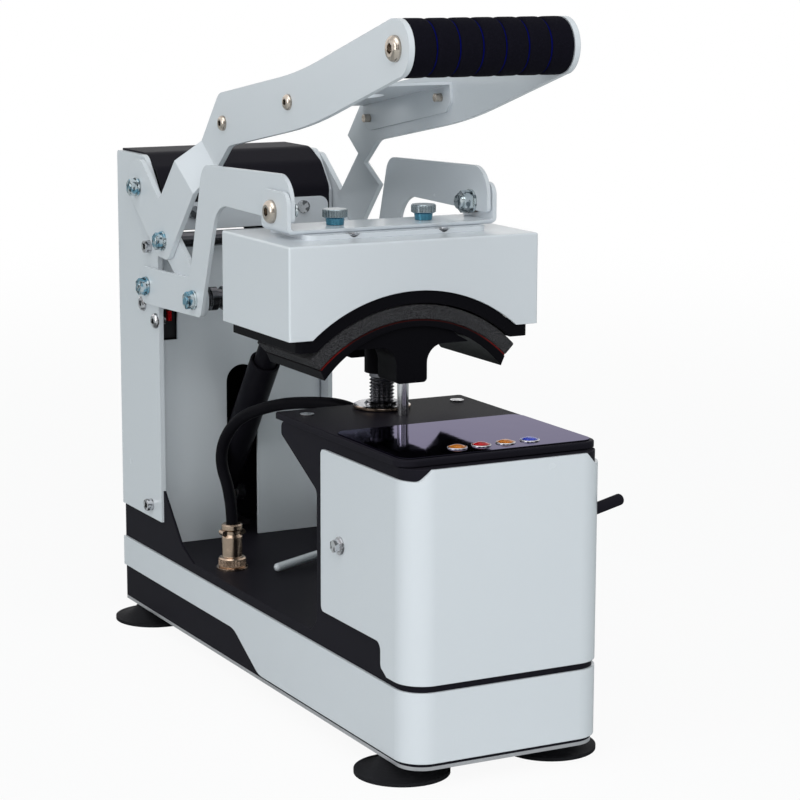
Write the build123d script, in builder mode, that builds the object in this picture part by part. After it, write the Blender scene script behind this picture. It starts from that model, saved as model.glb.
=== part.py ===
from build123d import *
import os
from math import atan2, cos, degrees, hypot, pi, radians, sin, sqrt

# Cap heat press: millimetres, +X to the right seen from the front, +Y to the back, +Z up.
# Pieces are drawn from the front face of the front cover and written about the middle of the
# footprint, so the origin lies on the table, midway between the cover and the rear feet's edge.

# ---- driving dimensions ----------------------------------------------------------------
body_width = 150.0  # over the white covers and the side plates
body_depth = 497.0  # front cover to the rear edge of the side plates
sheet = 2.0  # cover, skirt and chassis sheet
plate = 4.0  # side plates and handle plates
arm_wall = 3.0  # swing arms
corner_radius = 20.0  # upright front corners of cover and skirt
foot_radius = 32.5
foot_height = 13.0
base_sheet = 2.5
skirt_bottom = 18.0
skirt_top = 66.0
cover_bottom = 70.7
cover_top = 214.0
deck_top = 73.0
box_top = 219.0  # top face of the control box
box_depth = 203.0  # front cover to the rear edge of the control box top
frame_top = 381.0  # top edge of the side plates
column_depth = 82.0  # side plates, front edge to rear edge

head_width = 193.6
head_front = 131.0
head_rear = 242.5
head_height = 64.3
head_sheet = 2.0
press_y = 183.0  # axis of the adjusting screw
arch_radius = 122.8  # arch cut in the head housing
arch_half_width = 79.5  # half width of that arch at its foot
heat_plate_wall = 9.0
flange_wall = 8.5  # flat side flanges of the heat plate
foam_wall = 10.5
liner_wall = 0.8
platen_wall = 4.0
platen_length = 88.0
platen_lift = 69.0  # control box top to the platen's crown
platen_travel = 7.5
screw_diameter = 18.0
screw_pitch = 2.5
guide_diameter = 8.0

pivot_pin = 8.0  # bolts of the handle and arm pivots
knee_pin = 8.0
stud = 6.0  # threaded ends that carry the flange nuts
knee_bar = 12.0
front_bar = 17.8
link_width = 26.0
link_slot = (6.0, 15.0)  # opening for the knee pin: length between end centres, width
link_end = 6.0  # end of the link beyond the knee pin
grip_radius = 19.2
grip_tube_radius = 11.0
strut_tube_diameter = 24.0
strut_rod_diameter = 18.0
cable_diameter = 9.0

fit = 0.05  # radial clearance of pins, rods and bores
side_play = 0.3  # between plates that pass each other
soft_gap = 1.0  # between the heat plate and the foam pad

# ---- places worked out from them -------------------------------------------------------
half = body_width / 2
wall_out = half - sheet
wall_in = wall_out - sheet
plate_in = half - plate
arm_in = half + side_play
arm_out = arm_in + arm_wall
handle_out = arm_in + plate
link_in = plate_in + side_play
link_wall = plate - side_play
column_front = body_depth - column_depth
base_top = foot_height + base_sheet

handle_pivot = (body_depth - 52.7, frame_top - 24.8)
arm_pivot = (body_depth - 66.0, frame_top - 101.0)
knee = (handle_pivot[0] - 50.3, handle_pivot[1] - 36.7)
bar = (arm_pivot[0] - 93.2, arm_pivot[1] + 1.2)
strut_pivot = (body_depth - 25.0, deck_top + 25.0)

platen_crown = box_top + platen_lift
liner_crown = platen_crown + liner_wall
foam_crown = liner_crown + foam_wall
heat_crown = foam_crown + soft_gap
arch_crown = heat_crown + heat_plate_wall
arch_centre = arch_crown - arch_radius  # height of the common axis of the curved layers
heat_radius = heat_crown - arch_centre
foam_radius = foam_crown - arch_centre
liner_radius = liner_crown - arch_centre
platen_radius = platen_crown - arch_centre
head_bottom = arch_centre + sqrt(arch_radius**2 - arch_half_width**2)
head_top = head_bottom + head_height
head_half = head_width / 2
platen_front = head_front + 3.0
platen_rear = platen_front + platen_length

mount_wall = 3.5
bracket_wall = 3.0
mount_top = head_top + mount_wall
bracket_base = mount_top + bracket_wall
bracket_bolt = (190.0, head_top + 17.6)
washer_wall = 0.8
ear_in = arm_out + washer_wall
ear_out = ear_in + bracket_wall

foot_rear = body_depth - 22.5
middle_y = (foot_rear + foot_radius) / 2

os.makedirs("parts", exist_ok=True)


def save(name, builder):
    """Label a finished piece and write it, about the middle of the footprint."""
    builder.part.label = name
    export_step(builder.part.moved(Location((0, -middle_y, 0))), f"parts/{name}.step")


def offset_points(anchor, offsets):
    """Points given as offsets from an anchor."""
    return [(anchor[0] + dy, anchor[1] + dz) for dy, dz in offsets]


def upright_outline(points, radii, x):
    """Closed outline in the Y-Z plane at x, each corner rounded by its own radius."""
    with BuildSketch(Plane.YZ.offset(x)) as profile:
        with BuildLine():
            FilletPolyline(*points, radius=radii, close=True)
        make_face()
    return profile.sketch


def plan_shell(front, rear, half_width, radius, height, rear_radius=0.0):
    """Plan outline with two rounded front corners and a square or lightly rounded back."""
    with BuildSketch(Plane.XY.offset(height)) as outline:
        with BuildLine():
            FilletPolyline(
                (-half_width, rear), (-half_width, front), (half_width, front), (half_width, rear),
                radius=[rear_radius, radius, radius, rear_radius], close=True,
            )
        make_face()
    return outline.sketch


def disc(centre, radius, x):
    """Round profile about an axis along X, in the Y-Z plane at x."""
    with BuildSketch(Plane.YZ.offset(x)) as profile:
        with Locations(centre):
            Circle(radius)
    return profile.sketch


def hexagon(centre, across_flats, x):
    """Hexagon about an axis along X, in the Y-Z plane at x."""
    with BuildSketch(Plane.YZ.offset(x)) as profile:
        with Locations(centre):
            RegularPolygon(across_flats / 2, 6, major_radius=False, rotation=30)
    return profile.sketch


def nut_with_flange(centre, seat, across_flats, flange_radius, length, bore):
    """Flange nut facing +X, seated at x = seat, with the bolt's end flush in its bore."""
    flange = 1.6
    with BuildPart() as nut:
        extrude(disc(centre, flange_radius, seat), amount=flange)
        extrude(hexagon(centre, across_flats, seat + flange), amount=length - flange)
        extrude(disc(centre, bore, seat), amount=length, mode=Mode.SUBTRACT)
    return nut.part


def button_screw(centre, seat, head_radius, head_height, shank_radius, shank):
    """Button head screw along X: domed head outside x = seat, shank running inwards."""
    socket_flats = head_radius * 0.75
    with BuildPart() as screw:
        extrude(disc(centre, head_radius, seat), amount=head_height)
        rim = screw.edges().filter_by(GeomType.CIRCLE).sort_by(Axis.X)[-1]
        fillet(rim, head_height * 0.75)
        extrude(hexagon(centre, socket_flats, seat + head_height * 0.4), amount=head_height,
                mode=Mode.SUBTRACT)
        extrude(disc(centre, shank_radius, seat), amount=-shank)
    return screw.part


def both_sides(shapes):
    """The shapes and their mirror images on the other side of the centre plane."""
    return list(shapes) + [mirror(shape, about=Plane.YZ) for shape in shapes]


# ---- base: feet, bottom sheet, skirt ---------------------------------------------------
foot_spots = [(x, y) for x in (-57.0, 57.0) for y in (43.0, foot_rear)]
foot_screw_radius = 3.0
with BuildPart() as rubber_feet:
    for spot in foot_spots:
        with BuildSketch(Plane(origin=(spot[0], spot[1], 0), x_dir=(1, 0, 0), z_dir=(0, -1, 0))):
            with BuildLine():
                Line((foot_screw_radius, 0), (foot_radius, 0))
                Line((foot_radius, 0), (foot_radius, 2.5))
                ThreePointArc((foot_radius, 2.5), (21.0, 5.6), (15.0, foot_height - 2))
                Line((15.0, foot_height - 2), (15.0, foot_height))
                Line((15.0, foot_height), (foot_screw_radius, foot_height))
                Line((foot_screw_radius, foot_height), (foot_screw_radius, 0))
            make_face()
        revolve(axis=Axis((spot[0], spot[1], 0), (0, 0, 1)))
save("rubber_feet", rubber_feet)

with BuildPart() as base_plate:
    extrude(plan_shell(sheet, body_depth, wall_out, corner_radius - sheet, foot_height),
            amount=base_sheet)
    with Locations(*[(x, y, foot_height) for x, y in foot_spots]):
        Cylinder(foot_screw_radius, 4 * base_sheet, mode=Mode.SUBTRACT)
save("base_plate", base_plate)

skirt_rear_bottom = 42.0
skirt_step = (234.0, 278.0)  # where the low front edge rises to the high rear edge
with BuildPart() as base_skirt:
    extrude(plan_shell(0, body_depth, half, corner_radius, skirt_bottom),
            amount=skirt_top - skirt_bottom)
    extrude(plan_shell(sheet, body_depth + sheet, wall_out, corner_radius - sheet, skirt_bottom),
            amount=skirt_top - skirt_bottom, mode=Mode.SUBTRACT)
    rise = upright_outline(
        [(skirt_step[0] - 40, skirt_bottom - 5), (skirt_step[0] - 40, skirt_bottom - 1),
         (skirt_step[0] - 39, skirt_bottom), (skirt_step[0], skirt_bottom),
         (skirt_step[1], skirt_rear_bottom), (body_depth + 5, skirt_rear_bottom),
         (body_depth + 5, skirt_bottom - 5)],
        [0, 0, 0, 25, 25, 0, 0], -half - 5)
    extrude(rise, amount=body_width + 10, mode=Mode.SUBTRACT)
save("base_skirt", base_skirt)

# ---- chassis: side walls, front wall, deck and the control box's rear wall -------------
panel_front = 11.0
panel_corner = 12.0
panel_flange = 4.5
panel_gap = 0.8  # shadow gap under the lid
gusset_rear = box_depth - 7.0
box_wall = 139.0  # upright rear wall of the control box
gusset_low = box_top - 44.5  # where that wall starts to lean back
gusset_high = box_top - 15.0
wall_rear_top = frame_top - 287.2
upright_top = deck_top + 46.0
box_inner_top = box_top - sheet
under_flange = box_top - panel_flange - panel_gap
inside_front = panel_front + panel_corner + 1.0  # the walls rise inside the lid from here
inside_rear = gusset_rear - 10.0  # to here

wall_points = [
    (0, base_top), (body_depth, base_top), (body_depth, wall_rear_top),
    (column_front, wall_rear_top), (column_front, upright_top),
    (column_front - 34.3, deck_top + 9.3), (column_front - 57.0, deck_top),
    (box_wall + 10.0, deck_top), (box_wall, deck_top + 10.0), (box_wall, gusset_low),
    (gusset_rear, gusset_high), (gusset_rear, under_flange), (inside_rear, under_flange),
    (inside_rear, box_inner_top), (inside_front, box_inner_top), (inside_front, under_flange),
    (0, under_flange),
]
cover_screw_spot = (99.0, 144.8)
plug_spot = (-51.0, 333.0)
gland_spot = (14.0, 150.0)
gland_thread = 6.0
gland_hex = 16.0
socket_radius = 9.5
side_lever_spot = (16.0, 168.5)
side_lever_pivot_x = half - 13.0
side_ear = 14.0
side_ear_x = side_lever_pivot_x - 1.5
side_slot = (10.0, 17.0)
side_hub = 8.6  # length of the side lever's hub
side_lever_tilt = 13.5  # above level in its raised position
deck_lever_pin = (60.0, 328.6, 84.2)
deck_lever_tip = (-29.0, 303.0, 77.0)
lever_tab = 4.0
screw_bore = screw_diameter / 2 + fit

with BuildPart() as chassis:
    extrude(plan_shell(sheet, body_depth, wall_out, corner_radius - sheet, base_top),
            amount=box_inner_top - base_top)
    extrude(plan_shell(2 * sheet, body_depth + sheet, wall_in, corner_radius - 2 * sheet, base_top),
            amount=box_inner_top - base_top, mode=Mode.SUBTRACT)
    extrude(upright_outline(wall_points, [0, 0, 0, 0, 0, 12, 6, 8, 8, 6, 3, 5] + 5 * [0], -half),
            amount=body_width, mode=Mode.INTERSECT)
    extrude(plan_shell(sheet, body_depth - sheet, wall_out, corner_radius - sheet, deck_top),
            amount=-sheet)
    rear_wall = upright_outline(
        [(box_wall, deck_top), (box_wall, gusset_low), (gusset_rear, gusset_high),
         (gusset_rear, under_flange - 5), (gusset_rear - sheet, under_flange - 5),
         (gusset_rear - sheet, gusset_high + sheet / 2), (box_wall - sheet, gusset_low + sheet),
         (box_wall - sheet, deck_top)],
        [0, 6, 3, 0, 0, 1, 8, 0], -wall_in)
    extrude(rear_wall, amount=2 * wall_in)
    # ledge under the front of the lid
    extrude(plan_shell(sheet, inside_front - 2.0, wall_out, corner_radius - sheet, under_flange),
            amount=-sheet)
    # holes for the cover screws, the deck socket, the gland and the side lever
    extrude(disc(cover_screw_spot, 3.0, -half), amount=body_width, mode=Mode.SUBTRACT)
    with Locations((plug_spot[0], plug_spot[1], deck_top)):
        Cylinder(socket_radius, 4 * sheet, mode=Mode.SUBTRACT)
    with BuildSketch(Plane.XZ.offset(-box_wall - sheet)):
        with Locations(gland_spot):
            Circle(gland_thread)
    extrude(amount=3 * sheet, mode=Mode.SUBTRACT)
    with BuildSketch(Plane.YZ.offset(side_ear_x + side_ear / 2)):
        with Locations(side_lever_spot):
            SlotOverall(side_slot[1], side_slot[0], rotation=90)
    extrude(amount=half - side_ear_x, mode=Mode.SUBTRACT)
    # ears and pin that carry the side lever, inside the right wall
    for side in (-1, 1):
        ear_y = side_lever_spot[0] + side * (side_hub / 2 + side_play + 1.5)
        with Locations((side_ear_x, ear_y, side_lever_spot[1])):
            Box(side_ear, 3.0, 20.0)
    with Locations((side_lever_pivot_x, side_lever_spot[0], side_lever_spot[1])):
        Cylinder(2.5, side_hub + 2.0, rotation=(90, 0, 0))
    # tab and pin that carry the deck lever
    with BuildSketch(Plane.XZ.offset(-deck_lever_pin[1] - lever_tab)):
        with BuildLine():
            FilletPolyline(
                (deck_lever_pin[0] - 8, deck_top), (deck_lever_pin[0] + 8, deck_top),
                (deck_lever_pin[0] + 8, deck_lever_pin[2] + 8),
                (deck_lever_pin[0] - 8, deck_lever_pin[2] + 8),
                radius=[0, 0, 7.5, 7.5], close=True)
        make_face()
    extrude(amount=-lever_tab)
    with Locations((deck_lever_pin[0], deck_lever_pin[1], deck_lever_pin[2])):
        Cylinder(3.0, 2 * lever_tab + 4.0, rotation=(90, 0, 0))
save("chassis", chassis)

# ---- front cover and its screws --------------------------------------------------------
cover_rear = 129.0
cover_side_top = box_top - 13.0
cover_side_bottom = cover_bottom + 21.6
with BuildPart() as front_cover:
    extrude(plan_shell(0, cover_rear, half, corner_radius, cover_bottom),
            amount=cover_top - cover_bottom)
    extrude(plan_shell(sheet, cover_rear + sheet, wall_out, corner_radius - sheet, cover_bottom),
            amount=cover_top - cover_bottom, mode=Mode.SUBTRACT)
    lower = upright_outline(
        [(31, cover_bottom - 5), (31, cover_bottom), (40, cover_bottom + 5), (40, cover_side_bottom),
         (cover_rear + 5, cover_side_bottom), (cover_rear + 5, cover_bottom - 5)],
        [0, 2, 4, 6, 0, 0], -half - 5)
    extrude(lower, amount=body_width + 10, mode=Mode.SUBTRACT)
    # the top edge steps down beside the front face and runs level along the sides
    for side in (-1, 1):
        with BuildSketch(Plane.XZ.offset(-cover_rear - 5)):
            with BuildLine():
                FilletPolyline(
                    (side * (half + 5), cover_top + 5), (side * (half + 5), cover_side_top),
                    (side * (half - 9), cover_side_top), (side * (half - 17), cover_top),
                    (side * (half - 23), cover_top + 5),
                    radius=[0, 0, 5, 5, 0], close=True)
            make_face()
        extrude(amount=cover_rear + 10, mode=Mode.SUBTRACT)
    # rounded rear corners of the two sides
    corners = front_cover.edges().filter_by(Axis.X).filter_by_position(
        Axis.Y, cover_rear - 0.1, cover_rear + 0.1)
    fillet(corners, 4.0)
    extrude(disc(cover_screw_spot, 3.0, -half - 1), amount=body_width + 2, mode=Mode.SUBTRACT)
    with BuildSketch(Plane.YZ.offset(side_ear_x + side_ear / 2)):
        with Locations(side_lever_spot):
            SlotOverall(side_slot[1], side_slot[0], rotation=90)
    extrude(amount=half - side_ear_x, mode=Mode.SUBTRACT)
save("front_cover", front_cover)

# ---- control box top, overlay and buttons ----------------------------------------------
overlay_wall = 1.0
overlay_front = panel_front + 3.0
overlay_length = 100.8
guide_y = press_y - 32.0
panel_screw_spots = [(-60.0, box_depth - 22.0), (60.0, box_depth - 22.0)]
button_y = 29.5
button_x = {"amber_left": -24.0, "red": -6.0, "amber_right": 12.5, "blue": 31.0}
button_radius = 5.0
bezel_radius = 6.7
button_travel = 1.5

with BuildPart() as top_panel:
    extrude(plan_shell(panel_front, box_depth, half, panel_corner, box_top, 3.0), amount=-panel_flange)
    extrude(plan_shell(panel_front + sheet, box_depth - sheet, wall_out, panel_corner - sheet,
                       box_inner_top, 1.0), amount=-panel_flange, mode=Mode.SUBTRACT)
    with Locations((0, press_y, box_top)):
        Cylinder(screw_bore, 3 * sheet, mode=Mode.SUBTRACT)
    with Locations((0, guide_y, box_top)):
        Cylinder(guide_diameter / 2, 3 * sheet, mode=Mode.SUBTRACT)
    with Locations(*[(x, button_y, box_top) for x in button_x.values()]):
        Cylinder(bezel_radius - 1.2, 3 * sheet, mode=Mode.SUBTRACT)
    with Locations(*[(x, y, box_top) for x, y in panel_screw_spots]):
        Cylinder(2.0, 3 * sheet, mode=Mode.SUBTRACT)
    top_rim = top_panel.edges().group_by(Axis.Z)[-1].filter_by(
        lambda edge: edge.length > 40 or edge.center().X**2 > (half - panel_corner)**2)
    fillet(top_rim, 1.2)
save("top_panel", top_panel)

with BuildPart() as control_overlay:
    with BuildSketch(Plane.XY.offset(box_top)):
        with Locations((0, overlay_front + overlay_length / 2)):
            RectangleRounded(body_width - 6.0, overlay_length, 9.0)
        with Locations(*[(x, button_y) for x in button_x.values()]):
            Circle(bezel_radius, mode=Mode.SUBTRACT)
    extrude(amount=overlay_wall)
save("control_overlay", control_overlay)

with BuildPart() as button_bodies:
    for x in button_x.values():
        with BuildSketch(Plane(origin=(x, button_y, 0), x_dir=(1, 0, 0), z_dir=(0, -1, 0))):
            bore = button_radius + fit
            neck = bezel_radius - 1.2
            with BuildLine():
                FilletPolyline(
                    (bore, box_top - 12), (neck, box_top - 12), (neck, box_top),
                    (bezel_radius, box_top), (bezel_radius, box_top + 1.9), (bore, box_top + 1.9),
                    radius=[0, 0, 0, 0, 0.6, 0], close=True)
            make_face()
        revolve(axis=Axis((x, button_y, 0), (0, 0, 1)))
        with Locations((x, button_y, box_top - 17)):
            Box(11.0, 11.0, 10.0)
save("button_bodies", button_bodies)

for colour, x in button_x.items():
    with BuildPart() as button:
        with BuildSketch(Plane(origin=(x, button_y, 0), x_dir=(1, 0, 0), z_dir=(0, -1, 0))):
            with BuildLine():
                Line((0, box_top - 8), (button_radius, box_top - 8))
                Line((button_radius, box_top - 8), (button_radius, box_top + 2.1))
                ThreePointArc((button_radius, box_top + 2.1), (3.2, box_top + 2.9), (1, box_top + 3.2))
                Line((1, box_top + 3.2), (0, box_top + 3.2))
                Line((0, box_top + 3.2), (0, box_top - 8))
            make_face()
        revolve(axis=Axis((x, button_y, 0), (0, 0, 1)))
    save(f"button_{colour}", button)

with BuildPart() as control_board:
    with Locations((0, 62.0, box_top - 24.5)):
        Box(104.0, 84.0, 1.6)
    with Locations((-30, 76, box_top - 20.7), (25, 80, box_top - 20.7)):
        Box(26.0, 20.0, 6.0)
    with Locations(*[(x, button_y, box_top - 22.0) for x in button_x.values()]):
        Box(11.0, 11.0, 2.0, align=(Align.CENTER, Align.CENTER, Align.MAX))
    for x in (-48.0, 48.0):
        with Locations((x, 98.0, box_top - 13.1)):
            Cylinder(3.0, 22.2)
save("control_board", control_board)

# ---- adjusting screw, guide rod --------------------------------------------------------
wheel_radius = 20.5
wheel_base = box_top + 0.15
wheel_wall = 3.2
thread_root = screw_diameter / 2 - 1.5
screw_top = platen_crown - platen_wall - platen_travel - 3.0
sleeve_bottom = platen_crown - 43.0
thread_turns = int((sleeve_bottom - 1 - wheel_base - wheel_wall - 2) / screw_pitch)
thread_start = wheel_base + wheel_wall + 2.0
collar_top = box_inner_top - 0.15
thread = [(screw_diameter / 2, thread_start)]
for turn in range(thread_turns):
    low = thread_start + turn * screw_pitch
    thread += [(thread_root, low + screw_pitch / 2), (screw_diameter / 2, low + screw_pitch)]
with BuildPart() as adjuster_screw:
    with BuildSketch(Plane(origin=(0, press_y, 0), x_dir=(1, 0, 0), z_dir=(0, -1, 0))):
        with BuildLine():
            Polyline(
                (0, collar_top - 8), (10.5, collar_top - 8), (10.5, collar_top),
                (screw_diameter / 2, collar_top), (screw_diameter / 2, wheel_base),
                (wheel_radius - 0.8, wheel_base), (wheel_radius, wheel_base + 0.8),
                (wheel_radius, wheel_base + wheel_wall - 1.0), (wheel_radius - 1.5, wheel_base + wheel_wall),
                (12.5, wheel_base + wheel_wall), (11.0, thread_start), *thread,
                (screw_diameter / 2, screw_top - 1), (screw_diameter / 2 - 1, screw_top),
                (0, screw_top), close=True)
        make_face()
    revolve(axis=Axis((0, press_y, 0), (0, 0, 1)))
save("adjuster_screw", adjuster_screw)

with BuildPart() as guide_rod:
    with Locations((0, guide_y, box_top - 30)):
        Cylinder(guide_diameter / 2, screw_top - box_top + 30, align=(Align.CENTER, Align.CENTER, Align.MIN))
    with Locations((0, guide_y, box_inner_top)):
        Cylinder(7.0, 6.0, align=(Align.CENTER, Align.CENTER, Align.MAX))
save("guide_rod", guide_rod)

# ---- lower platen, foam pad and liner --------------------------------------------------
platen_half = 72.0
platen_foot = platen_crown - 36.5
under_crown = platen_crown - platen_wall
web_bottom = platen_crown - 18.0
hub_half = 12.0
hub_bottom = platen_crown - 44.3


def arc_band(outer, inner, half_width, y):
    """Section of a curved layer about the common axis, cut square to its own surface."""
    angle = degrees(atan2(half_width, sqrt(outer**2 - half_width**2)))
    with BuildSketch(Plane.XZ.offset(-y)) as band:
        with BuildLine():
            rim = CenterArc((0, arch_centre), outer, 90 - angle, 2 * angle)
            CenterArc((0, arch_centre), inner, 90 - angle, 2 * angle)
            for side in (-1, 1):
                run = (side * sin(radians(angle)), cos(radians(angle)))
                Line((outer * run[0], arch_centre + outer * run[1]),
                     (inner * run[0], arch_centre + inner * run[1]))
        make_face()
    return band.sketch


with BuildPart() as lower_platen:
    with BuildSketch(Plane.XZ.offset(-platen_rear)):
        with BuildLine():
            edge_z = arch_centre + sqrt(platen_radius**2 - platen_half**2)
            ThreePointArc((-platen_half, edge_z), (0, platen_crown), (platen_half, edge_z))
            Line((platen_half, edge_z), (platen_half - 3, platen_foot))
            ThreePointArc((platen_half - 3, platen_foot), (0, under_crown), (3 - platen_half, platen_foot))
            Line((3 - platen_half, platen_foot), (-platen_half, edge_z))
        make_face()
    extrude(amount=platen_length)
    web_half = 45.0
    for web_front, web_wall, bottom, width in (
        (platen_front + 4, 28.0, hub_bottom, hub_half),
        (platen_rear - 14, 10.0, hub_bottom + 8, hub_half + 2),
    ):
        with BuildSketch(Plane.XZ.offset(-web_front - web_wall)):
            with BuildLine():
                FilletPolyline(
                    (-web_half, web_bottom), (-width, web_bottom), (-width, bottom), (width, bottom),
                    (width, web_bottom), (web_half, web_bottom), (24.0, under_crown - 2.0),
                    (0.0, under_crown + 1.0), (-24.0, under_crown - 2.0),
                    radius=[0, 13, 3, 3, 13, 0, 0, 0, 0], close=True)
            make_face()
        extrude(amount=web_wall)
    with Locations((0, press_y, sleeve_bottom)):
        Cylinder(12.5, under_crown - sleeve_bottom + 1, align=(Align.CENTER, Align.CENTER, Align.MIN))
    bore_top = under_crown - 1.0
    with Locations((0, press_y, 0)):
        Cylinder(screw_bore, bore_top, align=(Align.CENTER, Align.CENTER, Align.MIN), mode=Mode.SUBTRACT)
    with Locations((0, guide_y, 0)):
        Cylinder(guide_diameter / 2 + fit, bore_top, align=(Align.CENTER, Align.CENTER, Align.MIN),
                 mode=Mode.SUBTRACT)
save("lower_platen", lower_platen)

with BuildPart() as silicone_liner:
    extrude(arc_band(liner_radius, platen_radius, platen_half, platen_rear), amount=platen_length)
save("silicone_liner", silicone_liner)

foam_half = 80.0
with BuildPart() as foam_pad:
    extrude(arc_band(foam_radius, liner_radius, foam_half, platen_rear), amount=platen_length)
save("foam_pad", foam_pad)

# ---- heat head -------------------------------------------------------------------------
flange_half = 90.0
heat_front = head_front + head_sheet
heat_rear = head_rear - 0.5
heat_outer = arch_radius - 0.1
flange_bottom = head_bottom - flange_wall
mount_screw_spots = [(x, y) for x in (-35.2, 35.2) for y in (press_y - 23.5, press_y + 32.0)]
mount_front = press_y - 26.5
mount_rear = press_y + 40.0
bracket_front = press_y - 18.0
bracket_rear = press_y + 24.0
thumb_x = 35.0
thumb_y = press_y + 4.0
thumb_shank = 4.0
with BuildPart() as head_housing:
    with BuildSketch(Plane.XY.offset(head_bottom)):
        with Locations((0, (head_front + head_rear) / 2)):
            Rectangle(head_width, head_rear - head_front)
    extrude(amount=head_height)
    fillet(head_housing.edges().filter_by(Axis.Z), 1.5)
    fillet(head_housing.edges().group_by(Axis.Z)[-1], 1.5)
    with BuildSketch(Plane.XY.offset(head_bottom - 1)):
        with Locations((0, (head_front + head_rear) / 2)):
            Rectangle(head_width - 2 * head_sheet, head_rear - head_front - 2 * head_sheet)
    extrude(amount=head_height + 1 - head_sheet, mode=Mode.SUBTRACT)
    with BuildSketch(Plane.XZ.offset(-head_rear - 5)):
        with Locations((0, arch_centre)):
            Circle(arch_radius)
    extrude(amount=head_rear - head_front + 10, mode=Mode.SUBTRACT)
    with Locations((0, head_rear, head_top - 20)):
        Cylinder(6.0, 12.0, rotation=(90, 0, 0), mode=Mode.SUBTRACT)
    # holes for the mount screws and the thumb screws
    with Locations(*[(x, y, head_top) for x, y in mount_screw_spots]):
        Cylinder(2.5, 3 * head_sheet, mode=Mode.SUBTRACT)
    with Locations((-thumb_x, thumb_y, head_top), (thumb_x, thumb_y, head_top)):
        Cylinder(thumb_shank + fit, 3 * head_sheet, mode=Mode.SUBTRACT)
save("head_housing", head_housing)

with BuildPart() as heat_plate:
    outer_x = sqrt(heat_outer**2 - (head_bottom - arch_centre)**2)
    inner_x = sqrt(heat_radius**2 - (flange_bottom - arch_centre)**2)
    with BuildSketch(Plane.XZ.offset(-heat_rear)):
        with BuildLine():
            ThreePointArc((-outer_x, head_bottom), (0, arch_centre + heat_outer), (outer_x, head_bottom))
            Polyline((outer_x, head_bottom), (flange_half, head_bottom), (flange_half, flange_bottom),
                     (inner_x, flange_bottom))
            ThreePointArc((inner_x, flange_bottom), (0, arch_centre + heat_radius),
                          (-inner_x, flange_bottom))
            Polyline((-inner_x, flange_bottom), (-flange_half, flange_bottom),
                     (-flange_half, head_bottom), (-outer_x, head_bottom))
        make_face()
    extrude(amount=heat_rear - heat_front)
    fillet(heat_plate.edges().filter_by(Axis.Z), 4.0)
save("heat_plate", heat_plate)

with BuildPart() as heating_element:
    extrude(arc_band(heat_outer + 5.0, heat_outer, 62.0, heat_rear - 12), amount=heat_rear - heat_front - 24)
    for x in (-22.0, 22.0):
        with Locations((x, heat_rear - 24, arch_centre + heat_outer + 3)):
            Cylinder(3.0, 9.0)
save("heating_element", heating_element)

with BuildPart() as mount_plate:
    with BuildSketch(Plane.XY.offset(head_top)):
        with Locations((0, (mount_front + mount_rear) / 2)):
            RectangleRounded(140.0, mount_rear - mount_front, 6.0)
    extrude(amount=mount_wall)
    for x, y in mount_screw_spots:
        with BuildSketch(Plane(origin=(x, y, 0), x_dir=(1, 0, 0), z_dir=(0, -1, 0))):
            Polygon((0, head_top - 1), (2.6, head_top - 1), (2.6, mount_top - 2.9), (5.6, mount_top),
                    (5.6, mount_top + 1), (0, mount_top + 1), align=None)
        revolve(axis=Axis((x, y, 0), (0, 0, 1)), mode=Mode.SUBTRACT)
    with Locations((-thumb_x, thumb_y, mount_top), (thumb_x, thumb_y, mount_top)):
        Cylinder(thumb_shank + fit, 4 * mount_wall, mode=Mode.SUBTRACT)
save("mount_plate", mount_plate)

with BuildPart() as mount_screws:
    for x, y in mount_screw_spots:
        with BuildSketch(Plane(origin=(x, y, 0), x_dir=(1, 0, 0), z_dir=(0, -1, 0))):
            Polygon((0, head_top - 1.9), (2.5, head_top - 1.9), (2.5, mount_top - 3.0),
                    (5.4, mount_top - 0.1), (3.0, mount_top - 0.1), (2.2, mount_top - 1.6),
                    (0, mount_top - 1.6), align=None)
        revolve(axis=Axis((x, y, 0), (0, 0, 1)))
save("mount_screws", mount_screws)

ear_top = bracket_bolt[1] + 15.0
ear_points = [(bracket_rear, mount_top), (bracket_rear, ear_top), (bracket_front, ear_top),
              (bracket_front, mount_top)]
bolt_radius = 5.0
with BuildPart() as head_bracket:
    with BuildSketch(Plane.XZ.offset(-bracket_rear)):
        with BuildLine():
            FilletPolyline(
                (-ear_out, ear_top), (-ear_out, mount_top), (ear_out, mount_top), (ear_out, ear_top),
                (ear_in, ear_top), (ear_in, bracket_base), (-ear_in, bracket_base), (-ear_in, ear_top),
                radius=[0, 5.0, 5.0, 0, 0, 2.0, 2.0, 0], close=True)
        make_face()
    extrude(amount=bracket_rear - bracket_front)
    keep = upright_outline(ear_points, [3, 9, 9, 3], -ear_out - 5)
    extrude(keep, amount=2 * ear_out + 10, mode=Mode.INTERSECT)
    extrude(disc(bracket_bolt, bolt_radius, -ear_out - 1), amount=2 * ear_out + 2, mode=Mode.SUBTRACT)
    with Locations((-thumb_x, thumb_y, bracket_base), (thumb_x, thumb_y, bracket_base)):
        Cylinder(thumb_shank + fit, 4 * bracket_wall, mode=Mode.SUBTRACT)
save("head_bracket", head_bracket)

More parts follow.
